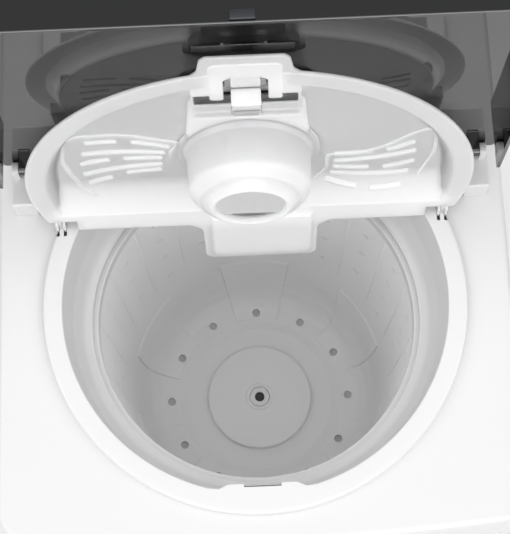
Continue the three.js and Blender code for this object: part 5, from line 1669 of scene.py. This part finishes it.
    def timer(self) -> None:
        """Timer knob with a finger bar and grip flutes, and the line that points to a minute."""
        skirt = eased([(0.0, 2.6, 0), (21.0, 2.6, 0.6), (21.0, 6.4, 1.4), (17.6, 8.6, 2.0),
                       (16.4, 16.0, 1.6), (0.0, 16.4, 0)], closed=False, steps=5)
        flutes = []
        for i in range(self.flutes):
            x, y = polar(self.flute_circle, i * 360.0 / self.flutes)
            flutes.append(rod(1.6, (x, y, 8.0), (x, y, 20.0), 16))
        bar = slab((-2.5, -19.8, 6.6), (2.5, 15.0, 19.0), 1.0, 3)
        bore = rod(3.7, (0, 0, 0.0), (0, 0, 13.2), 24)
        knob = combined(spun(skirt, 96), *cut(*flutes), *add(bar), *cut(bore))
        self.piece("timer_knob_moulding", knob, self.control(), Finish.GLOSS_ABS, "timer_knob",
                   "casing_white", ["timer_knob"], 35.0)
        line = slab((-0.5, 3.0, 18.9), (0.5, 14.0, 19.15))
        self.piece("timer_knob_mark", line, self.control(), Finish.INK, "timer_knob",
                   "switch_dark")


# ---- Studio -------------------------------------------------------------------------------------


@dataclass(frozen=True)
class Lamp:
    """One soft rectangular lamp: where it hangs, the point it faces, its size and its power."""

    name: str
    place: Triple
    target: Triple
    size: Pair
    watts: float

    def build(self) -> None:
        """Puts the lamp in the scene."""
        light = bpy.data.lights.new(self.name, "AREA")
        light.shape = "RECTANGLE"
        light.size, light.size_y = self.size
        light.energy = self.watts
        item = linked(self.name, light)
        item.location = self.place
        aim = Vector(self.target) - Vector(self.place)
        item.rotation_euler = aim.to_track_quat("-Z", "Y").to_euler()


@dataclass
class Studio:
    """Pale floor, soft lamps and the camera at the photograph's angle."""

    floor_half: float = 30.0
    floor_colour: str = "#F2F2F2"
    surround: float = 0.36
    camera_place: Triple = (0.001508, -0.290193, 1.756694)
    tilt: float = 15.992
    roll: float = -2.532
    pan: float = -0.092
    focal_px: float = 1467.325
    long_side_px: float = 534.0
    sensor_mm: float = 36.0
    nearest: float = 0.05
    lamps: tuple[Lamp, ...] = (
        Lamp("overhead", (0.0, -0.35, 2.9), (0.0, 0.0, 0.7), (3.2, 2.8), 32.0),
        Lamp("front_fill", (0.0, -2.6, 1.9), (0.0, 0.0, 0.75), (2.4, 1.8), 46.0),
        Lamp("side_fill", (-1.9, -0.1, 2.3), (0.0, 0.0, 0.75), (1.4, 1.4), 15.0),
        Lamp("side_fill", (1.9, -0.1, 2.3), (0.0, 0.0, 0.75), (1.4, 1.4), 15.0),
    )

    def build(self) -> None:
        """Builds the studio."""
        self.floor()
        self.world()
        for lamp in self.lamps:
            lamp.build()
        self.camera()
        bpy.context.scene.view_settings.view_transform = "Standard"

    def floor(self) -> None:
        """A wide pale floor."""
        shape = bmesh.new()
        bmesh.ops.create_grid(shape, x_segments=1, y_segments=1, size=self.floor_half)
        mesh = meshed(shape, "studio_floor")
        mesh.materials.append(Paper("pale_paper", self.floor_colour).make())
        item = linked("studio_floor", mesh)
        item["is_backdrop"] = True

    def world(self) -> None:
        """A soft even surround that shows white to the camera."""
        world = bpy.data.worlds.new("soft_surround")
        bpy.context.scene.world = world
        world.use_nodes = True
        tree = world.node_tree
        back = tree.nodes["Background"]
        back.inputs["Color"].default_value = (1.0, 1.0, 1.0, 1.0)
        back.inputs["Strength"].default_value = self.surround
        white = node(tree, "ShaderNodeBackground",
                     {"=Color": (1.0, 1.0, 1.0, 1.0), "=Strength": 1.0})
        path = node(tree, "ShaderNodeLightPath")
        mix = node(tree, "ShaderNodeMixShader", Fac=path.outputs["Is Camera Ray"])
        tree.links.new(back.outputs["Background"], mix.inputs[1])
        tree.links.new(white.outputs["Background"], mix.inputs[2])
        tree.links.new(mix.outputs["Shader"], tree.nodes["World Output"].inputs["Surface"])

    def camera(self) -> None:
        """The camera, from its measured place, tilt, roll and pan."""
        t, r, a = (math.radians(v) for v in (self.tilt, self.roll, self.pan))
        forward = Vector((math.sin(a) * math.sin(t), math.cos(a) * math.sin(t), -math.cos(t)))
        up = Vector((math.sin(a) * math.cos(t), math.cos(a) * math.cos(t), math.sin(t)))
        right = forward.cross(up)
        turned_right = right * math.cos(r) + up * math.sin(r)
        turned_up = up * math.cos(r) - right * math.sin(r)
        data = bpy.data.cameras.new("photo_camera")
        data.sensor_width = self.sensor_mm
        data.lens = self.focal_px * self.sensor_mm / self.long_side_px
        data.clip_start = self.nearest
        item = linked("photo_camera", data)
        turn = Matrix((turned_right, turned_up, -forward)).transposed().to_4x4()
        item.matrix_world = Matrix.Translation(self.camera_place) @ turn
        bpy.context.scene.camera = item


def corners(bounds: tuple[Vector, Vector]) -> list[list[float]]:
    """A box as plain lists of numbers."""
    return [list(corner) for corner in bounds]


def main() -> None:
    """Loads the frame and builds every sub-assembly."""
    logging.basicConfig(level=logging.INFO, format="%(name)s %(message)s")
    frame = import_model()
    cad_box = corners(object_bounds())
    paints = Paintbox()
    Studio().build()
    for maker in (Casing, SpinBasket, InnerLid, OuterLid, RearConsole):
        assembly = maker(frame, paints)
        assembly.build()
        LOG.info("%s: %d pieces", maker.__name__, len(assembly.pieces))
    {"cad": cad_box, "visual": corners(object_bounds())}


if __name__ == "__main__":
    main()
